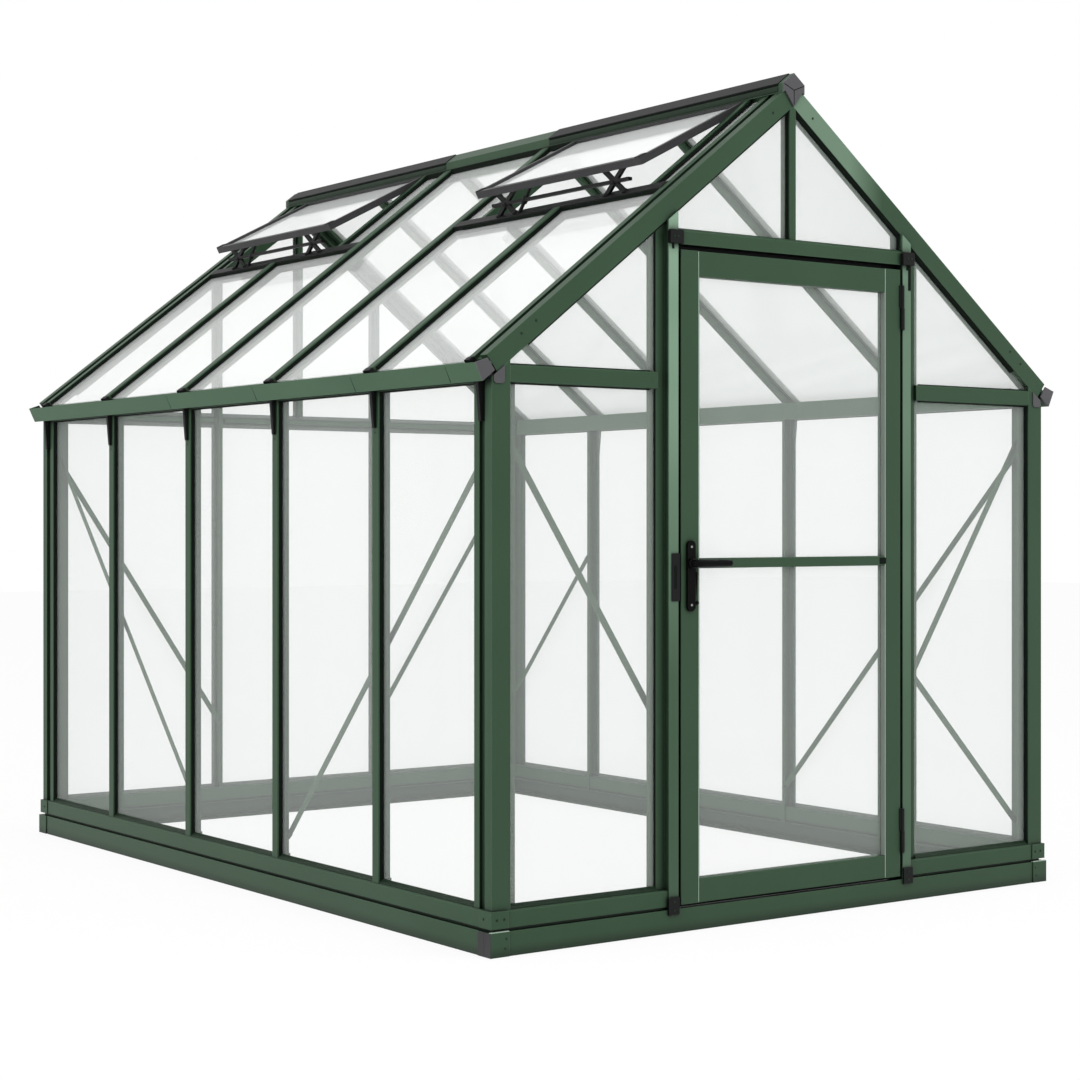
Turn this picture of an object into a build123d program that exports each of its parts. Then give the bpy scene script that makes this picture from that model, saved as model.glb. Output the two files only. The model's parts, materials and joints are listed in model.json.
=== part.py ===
from build123d import *
import os
from math import cos, radians, sin, tan

# A free-standing glass greenhouse: an aluminium frame with a hinged door in the front gable.
# Millimetres. +Z is up, +Y runs from the door to the back gable, X crosses the house.
# The origin is at ground level, in the middle of the plan.

# Overall sizes
bay_count = 5
bay_pitch = 615.0
frame_width = 2246.0
wall_top = 1597.0
roof_pitch = 37.8
roof_rise_at_wall = 87.0

# Base and sill rails
base_height = 69.0
base_depth = 60.0
base_wall = 4.0
base_proud = 9.0
sill_height = 58.0
sill_neck_height = 9.0
sill_chamfer = 4.0
sill_neck_inset = 10.0
sill_proud = 5.0
sleeve_reach = 52.0
sleeve_wall = 3.0

# Glass and the grooves that hold it
glass = 4.0
glass_setback = 16.0
seat_clearance = 0.3
edge_clearance = 3.0
groove_depth = 10.0

# Glazing bars
bar_cap = 38.0
bar_chamfer = 3.0
bar_web = 6.0
bar_flange = 30.0
flange_wall = 6.0
bar_stem = 16.0
bar_depth = 48.0
eave_bar_cap = 50.0
mullion_cap = 28.0

# Corner section, shared by the corner posts and the gable rafters
post_face = 63.0
rafter_face = 58.0
corner_side = 34.0
corner_recess_width = 30.0
corner_recess_depth = 12.0
corner_lip = 26.0
corner_lip_inset = 2.0
corner_cover = 20.0

# Eave rails
gutter_reach = 57.0
gutter_foot = 33.0
gutter_lip_rise = 8.0
gutter_wall = 8.0
gutter_floor = 9.0
cap_overhang = 27.0
roof_glass_overhang = 14.0
end_cap = 5.0
cap_lap = 7.0
cap_shoulder = 17.0
cap_rise = 14.0
gusset_inset = 6.0
gusset_width = 36.0
gusset_drop = 4.0
gusset_wall = 3.0
knee_height = 108.0
knee_width = 12.0
knee_reach = 18.0
knee_toe = 8.0

# Ridge
ridge_half = 43.0
ridge_rise = 29.0
ridge_cover_wall = 3.0
ridge_cover_overhang = 3.0

# Roof vents
vent_strip = 175.0
vent_length = 470.0
vent_opening = 10.5
sash_rail = 18.0
sash_head = 14.0
sash_depth = 24.0
jamb_gap = 2.0
jamb_width = 20.0
vent_sill_width = 34.0
vent_sill_gap = 10.0
arm_width = 16.0
arm_wall = 10.0
arm_inset = 150.0
arm_spread = 45.0
arm_bar_overhang = 30.0
link_crossing_share = 0.5
stay_offset = 140.0
stay_lean = 70.0
stay_radius = 6.0
stay_collar_radius = 10.0
stay_collar = 22.0

# Doorway and door
leaf_width = 904.0
leaf_height = 1930.0
leaf_depth = 34.0
leaf_ground_gap = 11.0
leaf_head_gap = 16.0
leaf_side_gap = 10.0
stop_gap = 6.0
stop_width = 12.0
stop_wall = 6.0
door_post_face = 36.0
door_post_lip = 34.0
door_post_lip_setback = 11.0
door_post_flange = 56.0
door_head_height = 46.0
head_chamfer = 7.0
stile = 69.0
top_rail = 75.0
bottom_rail = 72.0
mid_bar = 30.0
mid_bar_height = 1085.0
door_groove = 12.0
leaf_chamfer = 1.5

# Door furniture
plate_width = 30.0
plate_height = 209.0
plate_depth = 8.0
plate_drop = 37.0
spindle_height = 1085.0
spindle_radius = 5.0
spindle_clearance = 0.1
hub_radius = 15.0
hub_collar = 9.0
hub_reach = 23.0
neck_radius = 12.5
lever_length = 152.0
lever_radius = 12.5
lever_tip_radius = 10.0
lever_tip_chamfer = 3.0
hinge_height = 70.0
hinge_radius = 6.0
hinge_forward = 4.0
hinge_split = 0.5
hinge_leaf_width = 6.0
hinge_leaf_wall = 3.0
hinge_low = 225.0
hinge_high = 1890.0
keep_height = 140.0
keep_width = 22.0
keep_flange = 26.0
keep_drop = 40.0
keep_wall = 3.0
block_width = 40.0
block_wall = 6.0
head_block_lap = 10.0
head_block_height = 40.0
head_block_wall = 14.0
head_block_chamfer = 4.0
foot_drop = 15.0
foot_height = 51.0

# Bracing
brace_width = 20.0
brace_wall = 4.0
side_brace_top = 1470.0
side_brace_foot = 190.0
rear_brace_top = 1060.0
rear_brace_foot = 405.0
front_brace_top = 1520.0
front_brace_foot = 590.0
back_brace_top = 1455.0
back_brace_foot = 380.0
low_brace_top = 800.0
low_brace_foot = 166.0
back_post_offset = 375.0

overrun = 400.0

# Values worked out from the sizes above
half_width = frame_width / 2
frame_length = bay_count * bay_pitch
half_length = frame_length / 2
slope = radians(roof_pitch)
apex = wall_top + roof_rise_at_wall + half_width * tan(slope)
sill_top = base_height + sill_height
slot = glass + 2 * seat_clearance
slot_back = glass_setback + slot
flange_back = slot_back + flange_wall
pane_depth = glass_setback + seat_clearance
corner_side_total = corner_side + corner_recess_width + corner_lip
ridge_seat = rafter_face * tan(slope)
ridge_bottom = apex - rafter_face / cos(slope)
eave_bar_centre = wall_top + eave_bar_cap / 2
leaf_bottom = base_height + leaf_ground_gap
leaf_top = leaf_bottom + leaf_height
leaf_front = -base_proud
leaf_back = leaf_front + leaf_depth
opening_half = leaf_width / 2 + leaf_side_gap
head_bottom = leaf_top + leaf_head_gap
head_top = head_bottom + door_head_height
post_outer = opening_half + door_post_face
post_lip_edge = post_outer + door_post_flange
pane_inset = bar_web / 2 + edge_clearance
brace_inset = flange_back + brace_width / 2
vent_width = 2 * (bay_pitch - vent_strip)
plate_centre = spindle_height - plate_drop
gutter_fall = gutter_foot * tan(slope)
gutter_lip_height = wall_top + roof_rise_at_wall - gutter_reach * tan(slope) + gutter_lip_rise
bar_places = [(index + 1) * bay_pitch - half_length for index in range(bay_count - 1)]

along_of = {"front": (1, 0, 0), "right": (0, 1, 0), "back": (-1, 0, 0), "left": (0, -1, 0)}
inward_of = {"front": (0, 1, 0), "right": (-1, 0, 0), "back": (0, -1, 0), "left": (1, 0, 0)}
reach_of = {"front": half_length, "right": half_width, "back": half_length, "left": half_width}
run_of = {"front": half_width, "right": half_length, "back": half_width, "left": half_length}
slope_sign = {"left": -1, "right": 1}


# Building blocks: outlines drawn on a wall or a roof slope and drawn out to length

def outline(points):
    return make_face(Polyline(*points, close=True))


def wall_point(side, along, inward, height):
    run = Vector(*along_of[side]) * along
    depth = Vector(*inward_of[side]) * (inward - reach_of[side])
    return run + depth + Vector(0, 0, height)


# A plan outline (along the wall, inward) raised between two heights
def upright(points, side, along, low, high):
    plane = Plane(wall_point(side, along, 0, low), x_dir=along_of[side], z_dir=(0, 0, 1))
    return extrude(plane * outline(points), amount=high - low)


# A section (inward, height) drawn along the wall
def rail(points, side, start, end):
    plane = Plane(wall_point(side, start, 0, 0), x_dir=inward_of[side], z_dir=along_of[side])
    return extrude(plane * outline(points), amount=end - start)


# An elevation outline (along the wall, height) given a thickness inward from a depth
def sheet(points, side, depth, thickness):
    outward = tuple(-value for value in inward_of[side])
    plane = Plane(wall_point(side, 0, depth + thickness, 0), x_dir=along_of[side], z_dir=outward)
    return extrude(plane * outline(points), amount=thickness)


def rectangle(low_u, low_v, high_u, high_v):
    return [(low_u, low_v), (high_u, low_v), (high_u, high_v), (low_u, high_v)]


def down_slope(side):
    return Vector(slope_sign[side] * cos(slope), 0, -sin(slope))


def roof_normal(side):
    return Vector(slope_sign[side] * sin(slope), 0, cos(slope))


def roof_point(side, along, down, depth):
    return Vector(0, along, apex) + down_slope(side) * down - roof_normal(side) * depth


# A section (across the slope, depth below the roof face) drawn down the slope
def slope_bar(points, side, along, start, end):
    across = (0, -slope_sign[side], 0)
    plane = Plane(roof_point(side, along, start, 0), x_dir=across, z_dir=down_slope(side))
    return extrude(plane * outline(points), amount=end - start)


# A rectangle on the slope (along the ridge, down the slope) with a thickness below a depth
def slope_sheet(start, end, top, bottom, side, depth, thickness):
    plane = Plane(roof_point(side, start, top, depth), x_dir=(0, 1, 0), z_dir=-roof_normal(side))
    shift = 0 if slope_sign[side] > 0 else top - bottom
    face = outline(rectangle(0, shift, end - start, shift + bottom - top))
    return extrude(plane * face, amount=thickness)


# The height of the roof face, and of a plane a given depth below it, over a point of the plan
def roof_height(across, depth=0):
    return apex - abs(across) * tan(slope) - depth / cos(slope)


# Keep only what lies under both roof slopes at a given depth below the roof face
def under_roof(solid, depth):
    for side in slope_sign:
        cut = Plane(roof_point(side, 0, 0, depth), z_dir=roof_normal(side))
        solid = split(solid, bisect_by=cut, keep=Keep.BOTTOM)
    return solid


def front_and_back(solid):
    return [solid, mirror(solid, about=Plane.XZ)]


def left_and_right(solid):
    return [solid, mirror(solid, about=Plane.YZ)]


def four_corners(solid):
    return [copy for half in left_and_right(solid) for copy in front_and_back(half)]


def save(name, *solids):
    pieces = [piece for solid in solids for piece in solid.solids()]
    body = pieces[0] if len(pieces) == 1 else Compound(children=pieces)
    export_step(body, os.path.join("parts", name + ".step"))


# Sections

def bar_section(cap, depth=bar_depth):
    half = [
        (cap / 2 - bar_chamfer, 0),
        (cap / 2, bar_chamfer),
        (cap / 2, glass_setback),
        (bar_web / 2, glass_setback),
        (bar_web / 2, slot_back),
        (bar_flange / 2, slot_back),
        (bar_flange / 2, flange_back),
        (bar_stem / 2, flange_back),
        (bar_stem / 2, depth),
    ]
    return half + [(-across, inward) for across, inward in reversed(half)]


# The first value runs in from the side face (or down from the roof face), the second from the gable face
def corner_section(face):
    return [
        (0, 0),
        (face, 0),
        (face, glass_setback),
        (face - corner_cover, glass_setback),
        (face - corner_cover, slot_back),
        (face, slot_back),
        (face, flange_back),
        (bar_depth, flange_back),
        (bar_depth, bar_depth),
        (flange_back, bar_depth),
        (flange_back, corner_side_total),
        (slot_back, corner_side_total),
        (slot_back, corner_side_total - corner_cover),
        (glass_setback, corner_side_total - corner_cover),
        (glass_setback, corner_side_total),
        (corner_lip_inset, corner_side_total),
        (corner_lip_inset, corner_side_total - corner_lip),
        (corner_recess_depth, corner_side_total - corner_lip),
        (corner_recess_depth, corner_side),
        (0, corner_side),
    ]


def base_section():
    inner = base_depth - base_proud
    return [
        (-base_proud, 0),
        (inner, 0),
        (inner, base_wall),
        (base_wall - base_proud, base_wall),
        (base_wall - base_proud, base_height - base_wall),
        (inner, base_height - base_wall),
        (inner, base_height),
        (-base_proud, base_height),
    ]


def sill_section():
    neck_top = base_height + sill_neck_height
    return [
        (sill_neck_inset - sill_proud, base_height),
        (bar_depth - sill_neck_inset, base_height),
        (bar_depth - sill_neck_inset, neck_top),
        (bar_depth, neck_top),
        (bar_depth, sill_top),
        (slot_back, sill_top),
        (slot_back, sill_top - groove_depth),
        (glass_setback, sill_top - groove_depth),
        (glass_setback, sill_top),
        (sill_chamfer - sill_proud, sill_top),
        (-sill_proud, sill_top - sill_chamfer),
        (-sill_proud, neck_top),
        (sill_neck_inset - sill_proud, neck_top),
    ]


# Base and sill rings, mitred at the corners

def mitred(section, side):
    run = run_of[side]
    piece = rail(section, side, -run - overrun, run + overrun)
    for end in (-1, 1):
        corner = wall_point(side, end * run, 0, 0)
        face = Vector(*along_of[side]) * end + Vector(*inward_of[side])
        piece = split(piece, bisect_by=Plane(corner, z_dir=face), keep=Keep.BOTTOM)
    return piece


def corner_sleeve(proud, low, high):
    inner = -proud
    outer = inner - sleeve_wall
    plan = [
        (outer, outer),
        (sleeve_reach, outer),
        (sleeve_reach, inner),
        (inner, inner),
        (inner, sleeve_reach),
        (outer, sleeve_reach),
    ]
    plane = Plane((-half_width, -half_length, low))
    return extrude(plane * outline(plan), amount=high - low)


def make_base():
    for side in run_of:
        save("base_" + side, mitred(base_section(), side))
    low_sleeve = corner_sleeve(base_proud, 0, base_height)
    high_sleeve = corner_sleeve(sill_proud, base_height + sill_neck_height, sill_top)
    save("corner_sleeves", *four_corners(low_sleeve), *four_corners(high_sleeve))


# Uprights

def corner_post():
    plane = Plane((-half_width, -half_length, sill_top))
    post = extrude(plane * outline(corner_section(post_face)), amount=apex - sill_top)
    return under_roof(post, rafter_face)


# The post beside the doorway: the first value runs outward from the opening's edge
def door_post():
    plan = [
        (0, leaf_front),
        (door_post_face, leaf_front),
        (door_post_face, door_post_lip_setback),
        (door_post_face + door_post_lip, door_post_lip_setback),
        (door_post_face + door_post_lip, glass_setback),
        (door_post_face - flange_wall, glass_setback),
        (door_post_face - flange_wall, slot_back),
        (door_post_face + door_post_flange, slot_back),
        (door_post_face + door_post_flange, flange_back),
        (door_post_face - flange_wall, flange_back),
        (door_post_face - flange_wall, bar_depth),
        (0, bar_depth),
    ]
    post = upright(plan, "front", opening_half, base_height, apex)
    groove = rectangle(-overrun, glass_setback, groove_depth, slot_back)
    post -= upright(groove, "front", opening_half, head_top - groove_depth, apex)
    return under_roof(post, rafter_face)


def make_walls():
    save("corner_posts", *four_corners(corner_post()))
    for side in ("left", "right"):
        bars = [upright(bar_section(bar_cap), side, place, sill_top, wall_top) for place in bar_places]
        save(side + "_wall_bars", *bars)
    back_bar = upright(bar_section(bar_cap), "back", back_post_offset, sill_top, apex)
    save("back_posts", *left_and_right(under_roof(back_bar, rafter_face)))
    posts = left_and_right(door_post())
    save("door_posts", *posts)
    sill_front = mitred(sill_section(), "front")
    doorway = rectangle(-post_outer, -overrun, post_outer, overrun)
    sill_front -= upright(doorway, "front", 0, 0, apex)
    for post in posts:
        sill_front -= post
    save("sill_front", sill_front)
    for side in ("back", "left", "right"):
        save("sill_" + side, mitred(sill_section(), side))


# Gable members between the uprights

def cross_bar(cap, centre, side, start, end):
    section = [(inward, centre + across) for across, inward in bar_section(cap)]
    return rail(section, side, start, end)


def door_head():
    section = [
        (leaf_front, head_bottom),
        (bar_depth, head_bottom),
        (bar_depth, head_top),
        (slot_back, head_top),
        (slot_back, head_top - groove_depth),
        (glass_setback, head_top - groove_depth),
        (glass_setback, head_top),
        (leaf_front + head_chamfer, head_top),
        (leaf_front, head_top - head_chamfer),
    ]
    return under_roof(rail(section, "front", -opening_half, opening_half), rafter_face)


def make_gables():
    outer = half_width - post_face
    save("door_head", door_head())
    save("front_eave_bars", *left_and_right(
        cross_bar(eave_bar_cap, eave_bar_centre, "front", post_lip_edge, outer)))
    inner = back_post_offset + bar_cap / 2
    save("back_eave_bars",
         *left_and_right(cross_bar(eave_bar_cap, eave_bar_centre, "back", inner, outer)),
         cross_bar(eave_bar_cap, eave_bar_centre, "back", -back_post_offset + bar_cap / 2,
                   back_post_offset - bar_cap / 2))
    front = under_roof(upright(bar_section(mullion_cap), "front", 0, head_top, apex), rafter_face)
    back_low = eave_bar_centre + eave_bar_cap / 2
    back = under_roof(upright(bar_section(mullion_cap), "back", 0, back_low, apex), rafter_face)
    save("gable_mullions", front, back)


# Roof members

def rafter():
    plane = Plane(roof_point("left", -half_length, ridge_seat, 0),
                  x_dir=-roof_normal("left"), z_dir=-down_slope("left"))
    length = (half_width + cap_shoulder) / cos(slope) - ridge_seat
    return extrude(plane * outline(corner_section(rafter_face)), amount=-length)


def roof_bar(side, along, start):
    end = (half_width + cap_overhang) / cos(slope)
    bar = slope_bar(bar_section(bar_cap), side, along, start, end)
    low_edge = half_width / cos(slope)
    edge = Plane((slope_sign[side] * half_width, 0, 0), z_dir=(slope_sign[side], 0, 0))
    block = slope_bar(rectangle(-bar_cap, glass_setback, bar_cap, overrun), side, along,
                      low_edge - overrun, end + overrun)
    return bar - split(block, bisect_by=edge, keep=Keep.TOP)


def vent_sill_top():
    return hinge_down() + vent_length + vent_sill_gap


def hinge_down():
    return ridge_half / cos(slope) + seat_clearance


def vent_centres():
    return [bar_places[0], bar_places[-1]]


def make_roof():
    front_left = rafter()
    save("front_rafters", *left_and_right(front_left))
    save("back_rafters", *left_and_right(mirror(front_left, about=Plane.XZ)))
    for side in slope_sign:
        vented = vent_centres() if side == "left" else []
        below = vent_sill_top() + vent_sill_width
        starts = [below if place in vented else ridge_seat for place in bar_places]
        save(side + "_roof_bars", *[roof_bar(side, *pair) for pair in zip(bar_places, starts)])


def eave_rail():
    foot = half_width + gutter_foot
    lip = half_width + gutter_reach
    trough = wall_top + gutter_floor
    inner = half_width + gutter_wall
    gutter = [
        (half_width, wall_top + gutter_fall),
        (foot, wall_top),
        (lip, gutter_lip_height),
        (lip - gutter_wall, gutter_lip_height),
        (foot - gutter_wall, trough + gutter_wall * tan(slope)),
        (inner, trough + gutter_fall - gutter_wall * tan(slope)),
        (inner, roof_height(inner, slot_back)),
        (half_width, roof_height(half_width, slot_back)),
    ]
    plate = [
        (half_width - bar_depth, wall_top),
        (half_width - slot_back, wall_top),
        (half_width - slot_back, wall_top + groove_depth),
        (half_width - glass_setback, wall_top + groove_depth),
        (half_width - glass_setback, wall_top),
        (half_width, wall_top),
        (half_width, roof_height(half_width, bar_depth)),
        (half_width - bar_depth, roof_height(half_width - bar_depth, bar_depth)),
    ]
    plane = Plane((0, half_length, 0), x_dir=(1, 0, 0), z_dir=(0, -1, 0))
    plate_half = half_length - corner_side_total
    inner_plane = Plane((0, plate_half, 0), x_dir=(1, 0, 0), z_dir=(0, -1, 0))
    rail_body = extrude(plane * outline(gutter), amount=frame_length)
    for end in front_and_back(mirror(rafter(), about=Plane.YZ)):
        rail_body -= end
    return rail_body + extrude(inner_plane * outline(plate), amount=2 * plate_half)


# A cap squared to the roof slope, closing the gutter's end
def eave_cap():
    face = [
        (half_width - cap_lap, wall_top + gutter_fall + cap_lap * tan(slope)),
        (half_width + gutter_foot, wall_top),
        (half_width + gutter_reach, gutter_lip_height),
        (half_width + cap_shoulder, gutter_lip_height + cap_rise),
    ]
    plane = Plane((0, -half_length, 0), x_dir=(1, 0, 0), z_dir=(0, -1, 0))
    return extrude(plane * outline(face), amount=end_cap)


# The plate that ties the head of a corner post to the rafter's end
def corner_gusset():
    outer = half_width - gusset_inset
    inner = outer - gusset_width
    foot = wall_top - gusset_drop
    face = [
        (inner, roof_height(inner, rafter_face)),
        (inner, foot + gusset_inset),
        (inner + gusset_inset, foot),
        (outer - gusset_inset, foot),
        (outer, foot + gusset_inset),
        (outer, roof_height(outer, rafter_face)),
    ]
    plane = Plane((0, -half_length, 0), x_dir=(1, 0, 0), z_dir=(0, -1, 0))
    return extrude(plane * outline(face), amount=gusset_wall)


def ridge_section():
    seat = roof_point("right", 0, ridge_seat, 0)
    right = [
        (0, ridge_bottom),
        (seat.X, seat.Z),
        (ridge_half, roof_height(ridge_half)),
        (ridge_half, roof_height(ridge_half) + ridge_rise),
        (0, apex + ridge_rise),
    ]
    return right + [(-across, height) for across, height in reversed(right[1:-1])]


def ridge_piece(points, start, end):
    plane = Plane((0, end, 0), x_dir=(1, 0, 0), z_dir=(0, -1, 0))
    return extrude(plane * outline(points), amount=end - start)


def ridge_cover(start, end):
    edge = ridge_half + ridge_cover_overhang
    under = [(across, roof_height(across) + ridge_rise) for across in (-edge, 0, edge)]
    over = [(across, height + ridge_cover_wall) for across, height in reversed(under)]
    return ridge_piece(under + over, start, end)


# A bracket under the gutter, seated a given depth into the wall's face
def knee(side, place, seat):
    points = [
        (seat, wall_top),
        (0, wall_top + gutter_fall),
        (-knee_reach, wall_top + (gutter_foot - knee_reach) * tan(slope)),
        (-knee_toe, wall_top - knee_height),
        (seat, wall_top - knee_height),
    ]
    if not seat:
        points[0] = (0, wall_top)
    return rail(points, side, place - knee_width / 2, place + knee_width / 2)


def make_ridge_and_eaves():
    right = eave_rail()
    save("eave_right", right)
    save("eave_left", mirror(right, about=Plane.YZ))
    ridge_end = ridge_piece(ridge_section(), -half_length - end_cap, -half_length)
    save("end_caps", *four_corners(eave_cap()), *four_corners(corner_gusset()), *front_and_back(ridge_end))
    save("ridge_beam", ridge_piece(ridge_section(), -half_length, half_length))
    reach = bay_pitch - bar_cap / 2
    save("ridge_covers", *[ridge_cover(centre - reach, centre + reach) for centre in vent_centres()])
    recess = half_length - corner_side - corner_recess_width / 2
    knees = []
    for side in slope_sign:
        knees += [knee(side, place, 0) for place in bar_places]
        knees += [knee(side, place, corner_recess_depth) for place in (-recess, recess)]
    save("eave_knees", *knees)


# Roof vents, held open above the left slope

def vent_jamb(centre, hand):
    near = vent_width / 2 + jamb_gap
    far = near + jamb_width
    section = [
        (near, 0),
        (far, 0),
        (far, glass_setback),
        (far - groove_depth, glass_setback),
        (far - groove_depth, slot_back),
        (far, slot_back),
        (far, bar_depth),
        (near, bar_depth),
    ]
    points = [(hand * across, depth) for across, depth in section]
    return slope_bar(points, "left", centre, ridge_seat, vent_sill_top())


def vent_sill(centre):
    hand = 1 if centre > 0 else -1
    inner = centre - hand * (bay_pitch - bar_cap / 2)
    outer = hand * (half_length - corner_side_total)
    low, high = sorted((inner, outer))
    top = vent_sill_top()
    whole = slope_sheet(low, high, top, top + vent_sill_width, "left", 0, bar_depth)
    groove = slope_sheet(low - overrun, high + overrun, top - overrun, top + groove_depth, "left",
                         glass_setback, slot)
    foot = slope_sheet(low - overrun, high + overrun, top + vent_sill_width - groove_depth,
                       top + vent_sill_width + overrun, "left", glass_setback, slot)
    return whole - groove - foot


# The sash lies in its own tilted plane: down its length, along the ridge, and in from its face
def sash_frame(centre):
    tilt = radians(roof_pitch - vent_opening)
    down = Vector(-cos(tilt), 0, -sin(tilt))
    return Plane(roof_point("left", centre, hinge_down(), 0), x_dir=down, z_dir=(-sin(tilt), 0, cos(tilt)))


def sash_block(centre, top, bottom, low, high):
    return extrude(sash_frame(centre) * outline(rectangle(top, low, bottom, high)), amount=-sash_depth)


def vent_sash(centre):
    half = vent_width / 2
    pane_face = (sash_depth - slot) / 2
    inner = half - sash_rail
    frame = sash_block(centre, 0, vent_length, -half, half)
    light = sash_block(centre, sash_head, vent_length - sash_rail, -inner, inner)
    plane = sash_frame(centre).offset(-pane_face)
    held = rectangle(sash_head - groove_depth, -inner - groove_depth,
                     vent_length - sash_rail + groove_depth, inner + groove_depth)
    return frame - light - extrude(plane * outline(held), amount=-slot)


def vent_pane(centre):
    half = vent_width / 2
    inset = sash_rail - groove_depth + edge_clearance
    head = sash_head - groove_depth + edge_clearance
    plane = sash_frame(centre).offset(-(sash_depth - glass) / 2)
    shape = outline(rectangle(head, inset - half, vent_length - inset, half - inset))
    return extrude(plane * shape, amount=-glass)


# A point on the opener's plane: along the ridge, and a share of the way up from the sill to the sash
def opener_point(centre, offset, share):
    top = sash_frame(centre).from_local_coords((vent_length - sash_rail / 2, 0, -sash_depth))
    foot = roof_point("left", centre, vent_sill_top() + vent_sill_width / 2, 0)
    point = foot + (top - foot) * share
    return Vector(point.X, centre + offset, point.Z)


# A shape drawn out from the sill to the sash, its ends cut to both faces
def opener_strut(centre, shape, low_offset, high_offset):
    low = opener_point(centre, low_offset, 0)
    high = opener_point(centre, high_offset, 1)
    run = (high - low).normalized() * vent_sill_width
    plane = Plane(low - run, x_dir=run.cross(Vector(0, 0, 1)), z_dir=run)
    strut = extrude(plane * shape, amount=(high - low + run * 2).length)
    face = Plane(roof_point("left", 0, 0, 0), z_dir=roof_normal("left"))
    strut = split(strut, bisect_by=face, keep=Keep.TOP)
    return split(strut, bisect_by=sash_frame(centre).offset(-sash_depth), keep=Keep.BOTTOM)


# Crossed links at both ends, a bar through the crossings and a collared stay between them
def vent_opener(centre):
    reach = vent_width / 2 - arm_inset
    flat = outline(rectangle(-arm_wall / 2, -arm_width / 2, arm_wall / 2, arm_width / 2))
    end = reach + arm_spread + arm_bar_overhang
    bar_plane = Plane(opener_point(centre, -end, link_crossing_share), x_dir=(0, 0, 1), z_dir=(0, 1, 0))
    opener = extrude(bar_plane * flat, amount=2 * end)
    for place in (-reach, reach):
        opener += opener_strut(centre, flat, place - arm_spread, place + arm_spread)
        opener += opener_strut(centre, flat, place + arm_spread, place - arm_spread)
    stay = reach - stay_offset
    foot = stay + stay_lean
    opener += opener_strut(centre, Circle(stay_radius), foot, stay)
    low = opener_point(centre, foot, 0)
    high = opener_point(centre, stay, 1)
    run = (high - low).normalized()
    collar = Plane((low + high) / 2 - run * stay_collar / 2, z_dir=run)
    return opener + extrude(collar * Circle(stay_collar_radius), amount=stay_collar)


def make_vents():
    centres = vent_centres()
    save("vent_jambs", *[vent_jamb(centre, hand) for centre in centres for hand in (-1, 1)])
    save("vent_sills", *[vent_sill(centre) for centre in centres])
    save("vent_frames", *[vent_sash(centre) for centre in centres])
    save("vent_panes", *[vent_pane(centre) for centre in centres])
    save("vent_arms", *[vent_opener(centre) for centre in centres])


# Glass

def wall_edges():
    start = half_length - corner_side_total + corner_cover - edge_clearance
    edges = [-start]
    for place in bar_places:
        edges += [place - pane_inset, place + pane_inset]
    return edges + [start]


def side_panes(side):
    low = sill_top - groove_depth + edge_clearance
    high = wall_top + groove_depth - edge_clearance
    edges = wall_edges()
    return [sheet(rectangle(start, low, end, high), side, pane_depth, glass)
            for start, end in zip(edges[0::2], edges[1::2])]


def roof_panes(side):
    high = ridge_seat + edge_clearance
    low = (half_width + roof_glass_overhang) / cos(slope)
    edges = wall_edges()
    bays = list(zip(edges[0::2], edges[1::2]))
    panes = []
    vented = vent_centres() if side == "left" else []
    reach = vent_width / 2 + jamb_gap + jamb_width - groove_depth + edge_clearance
    for start, end in bays:
        over = [centre for centre in vented if abs((start + end) / 2 - centre) < bay_pitch]
        top = high
        for centre in over:
            top = vent_sill_top() + vent_sill_width - groove_depth + edge_clearance
            strip_end = vent_sill_top() + groove_depth - edge_clearance
            strip = (start, centre - reach) if start < centre - reach else (centre + reach, end)
            panes.append(slope_sheet(*strip, high, strip_end, side, pane_depth, glass))
        panes.append(slope_sheet(start, end, top, low, side, pane_depth, glass))
    return panes


def gable_pane(start, end, low, side):
    tuck = rafter_face - corner_cover + edge_clearance
    pane = under_roof(sheet(rectangle(start, low, end, apex), side, pane_depth, glass), tuck)
    hand = "right" if wall_point(side, end, 0, 0).X > 0 else "left"
    ridge_face = Plane(roof_point(hand, 0, ridge_seat + edge_clearance, 0), z_dir=down_slope(hand))
    return split(pane, bisect_by=ridge_face, keep=Keep.TOP)


def make_glass():
    for side in ("left", "right"):
        save(side + "_wall_panes", *side_panes(side))
        save(side + "_roof_panes", *roof_panes(side))
    low = sill_top - groove_depth + edge_clearance
    bar_low = eave_bar_centre - pane_inset
    bar_high = eave_bar_centre + pane_inset
    outer = half_width - post_face + corner_cover - edge_clearance
    inner = post_outer - flange_wall + edge_clearance
    head = head_top - groove_depth + edge_clearance
    side_low = sheet(rectangle(inner, low, outer, bar_low), "front", pane_depth, glass)
    side_high = gable_pane(inner, outer, bar_high, "front")
    over_door = gable_pane(pane_inset, opening_half + groove_depth - edge_clearance, head, "front")
    front = [copy for pane in (side_low, side_high, over_door) for copy in left_and_right(pane)]
    save("front_panes", *front)
    inner = back_post_offset + pane_inset
    middle = back_post_offset - pane_inset
    back_low = sheet(rectangle(inner, low, outer, bar_low), "back", pane_depth, glass)
    back_high = gable_pane(inner, outer, bar_high, "back")
    back_top = gable_pane(pane_inset, middle, bar_high, "back")
    back = [copy for pane in (back_low, back_high, back_top) for copy in left_and_right(pane)]
    save("back_panes", sheet(rectangle(-middle, low, middle, bar_low), "back", pane_depth, glass), *back)


# Door leaf, hung on the right and opening outward

# The leaf's section across one member, its four long edges eased
def leaf_section(low, high):
    return [
        (low + leaf_chamfer, leaf_front),
        (high - leaf_chamfer, leaf_front),
        (high, leaf_front + leaf_chamfer),
        (high, leaf_back - leaf_chamfer),
        (high - leaf_chamfer, leaf_back),
        (low + leaf_chamfer, leaf_back),
        (low, leaf_back - leaf_chamfer),
        (low, leaf_front + leaf_chamfer),
    ]


def leaf_stile(start, end):
    return upright(leaf_section(start, end), "front", 0, leaf_bottom, leaf_top)


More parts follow.
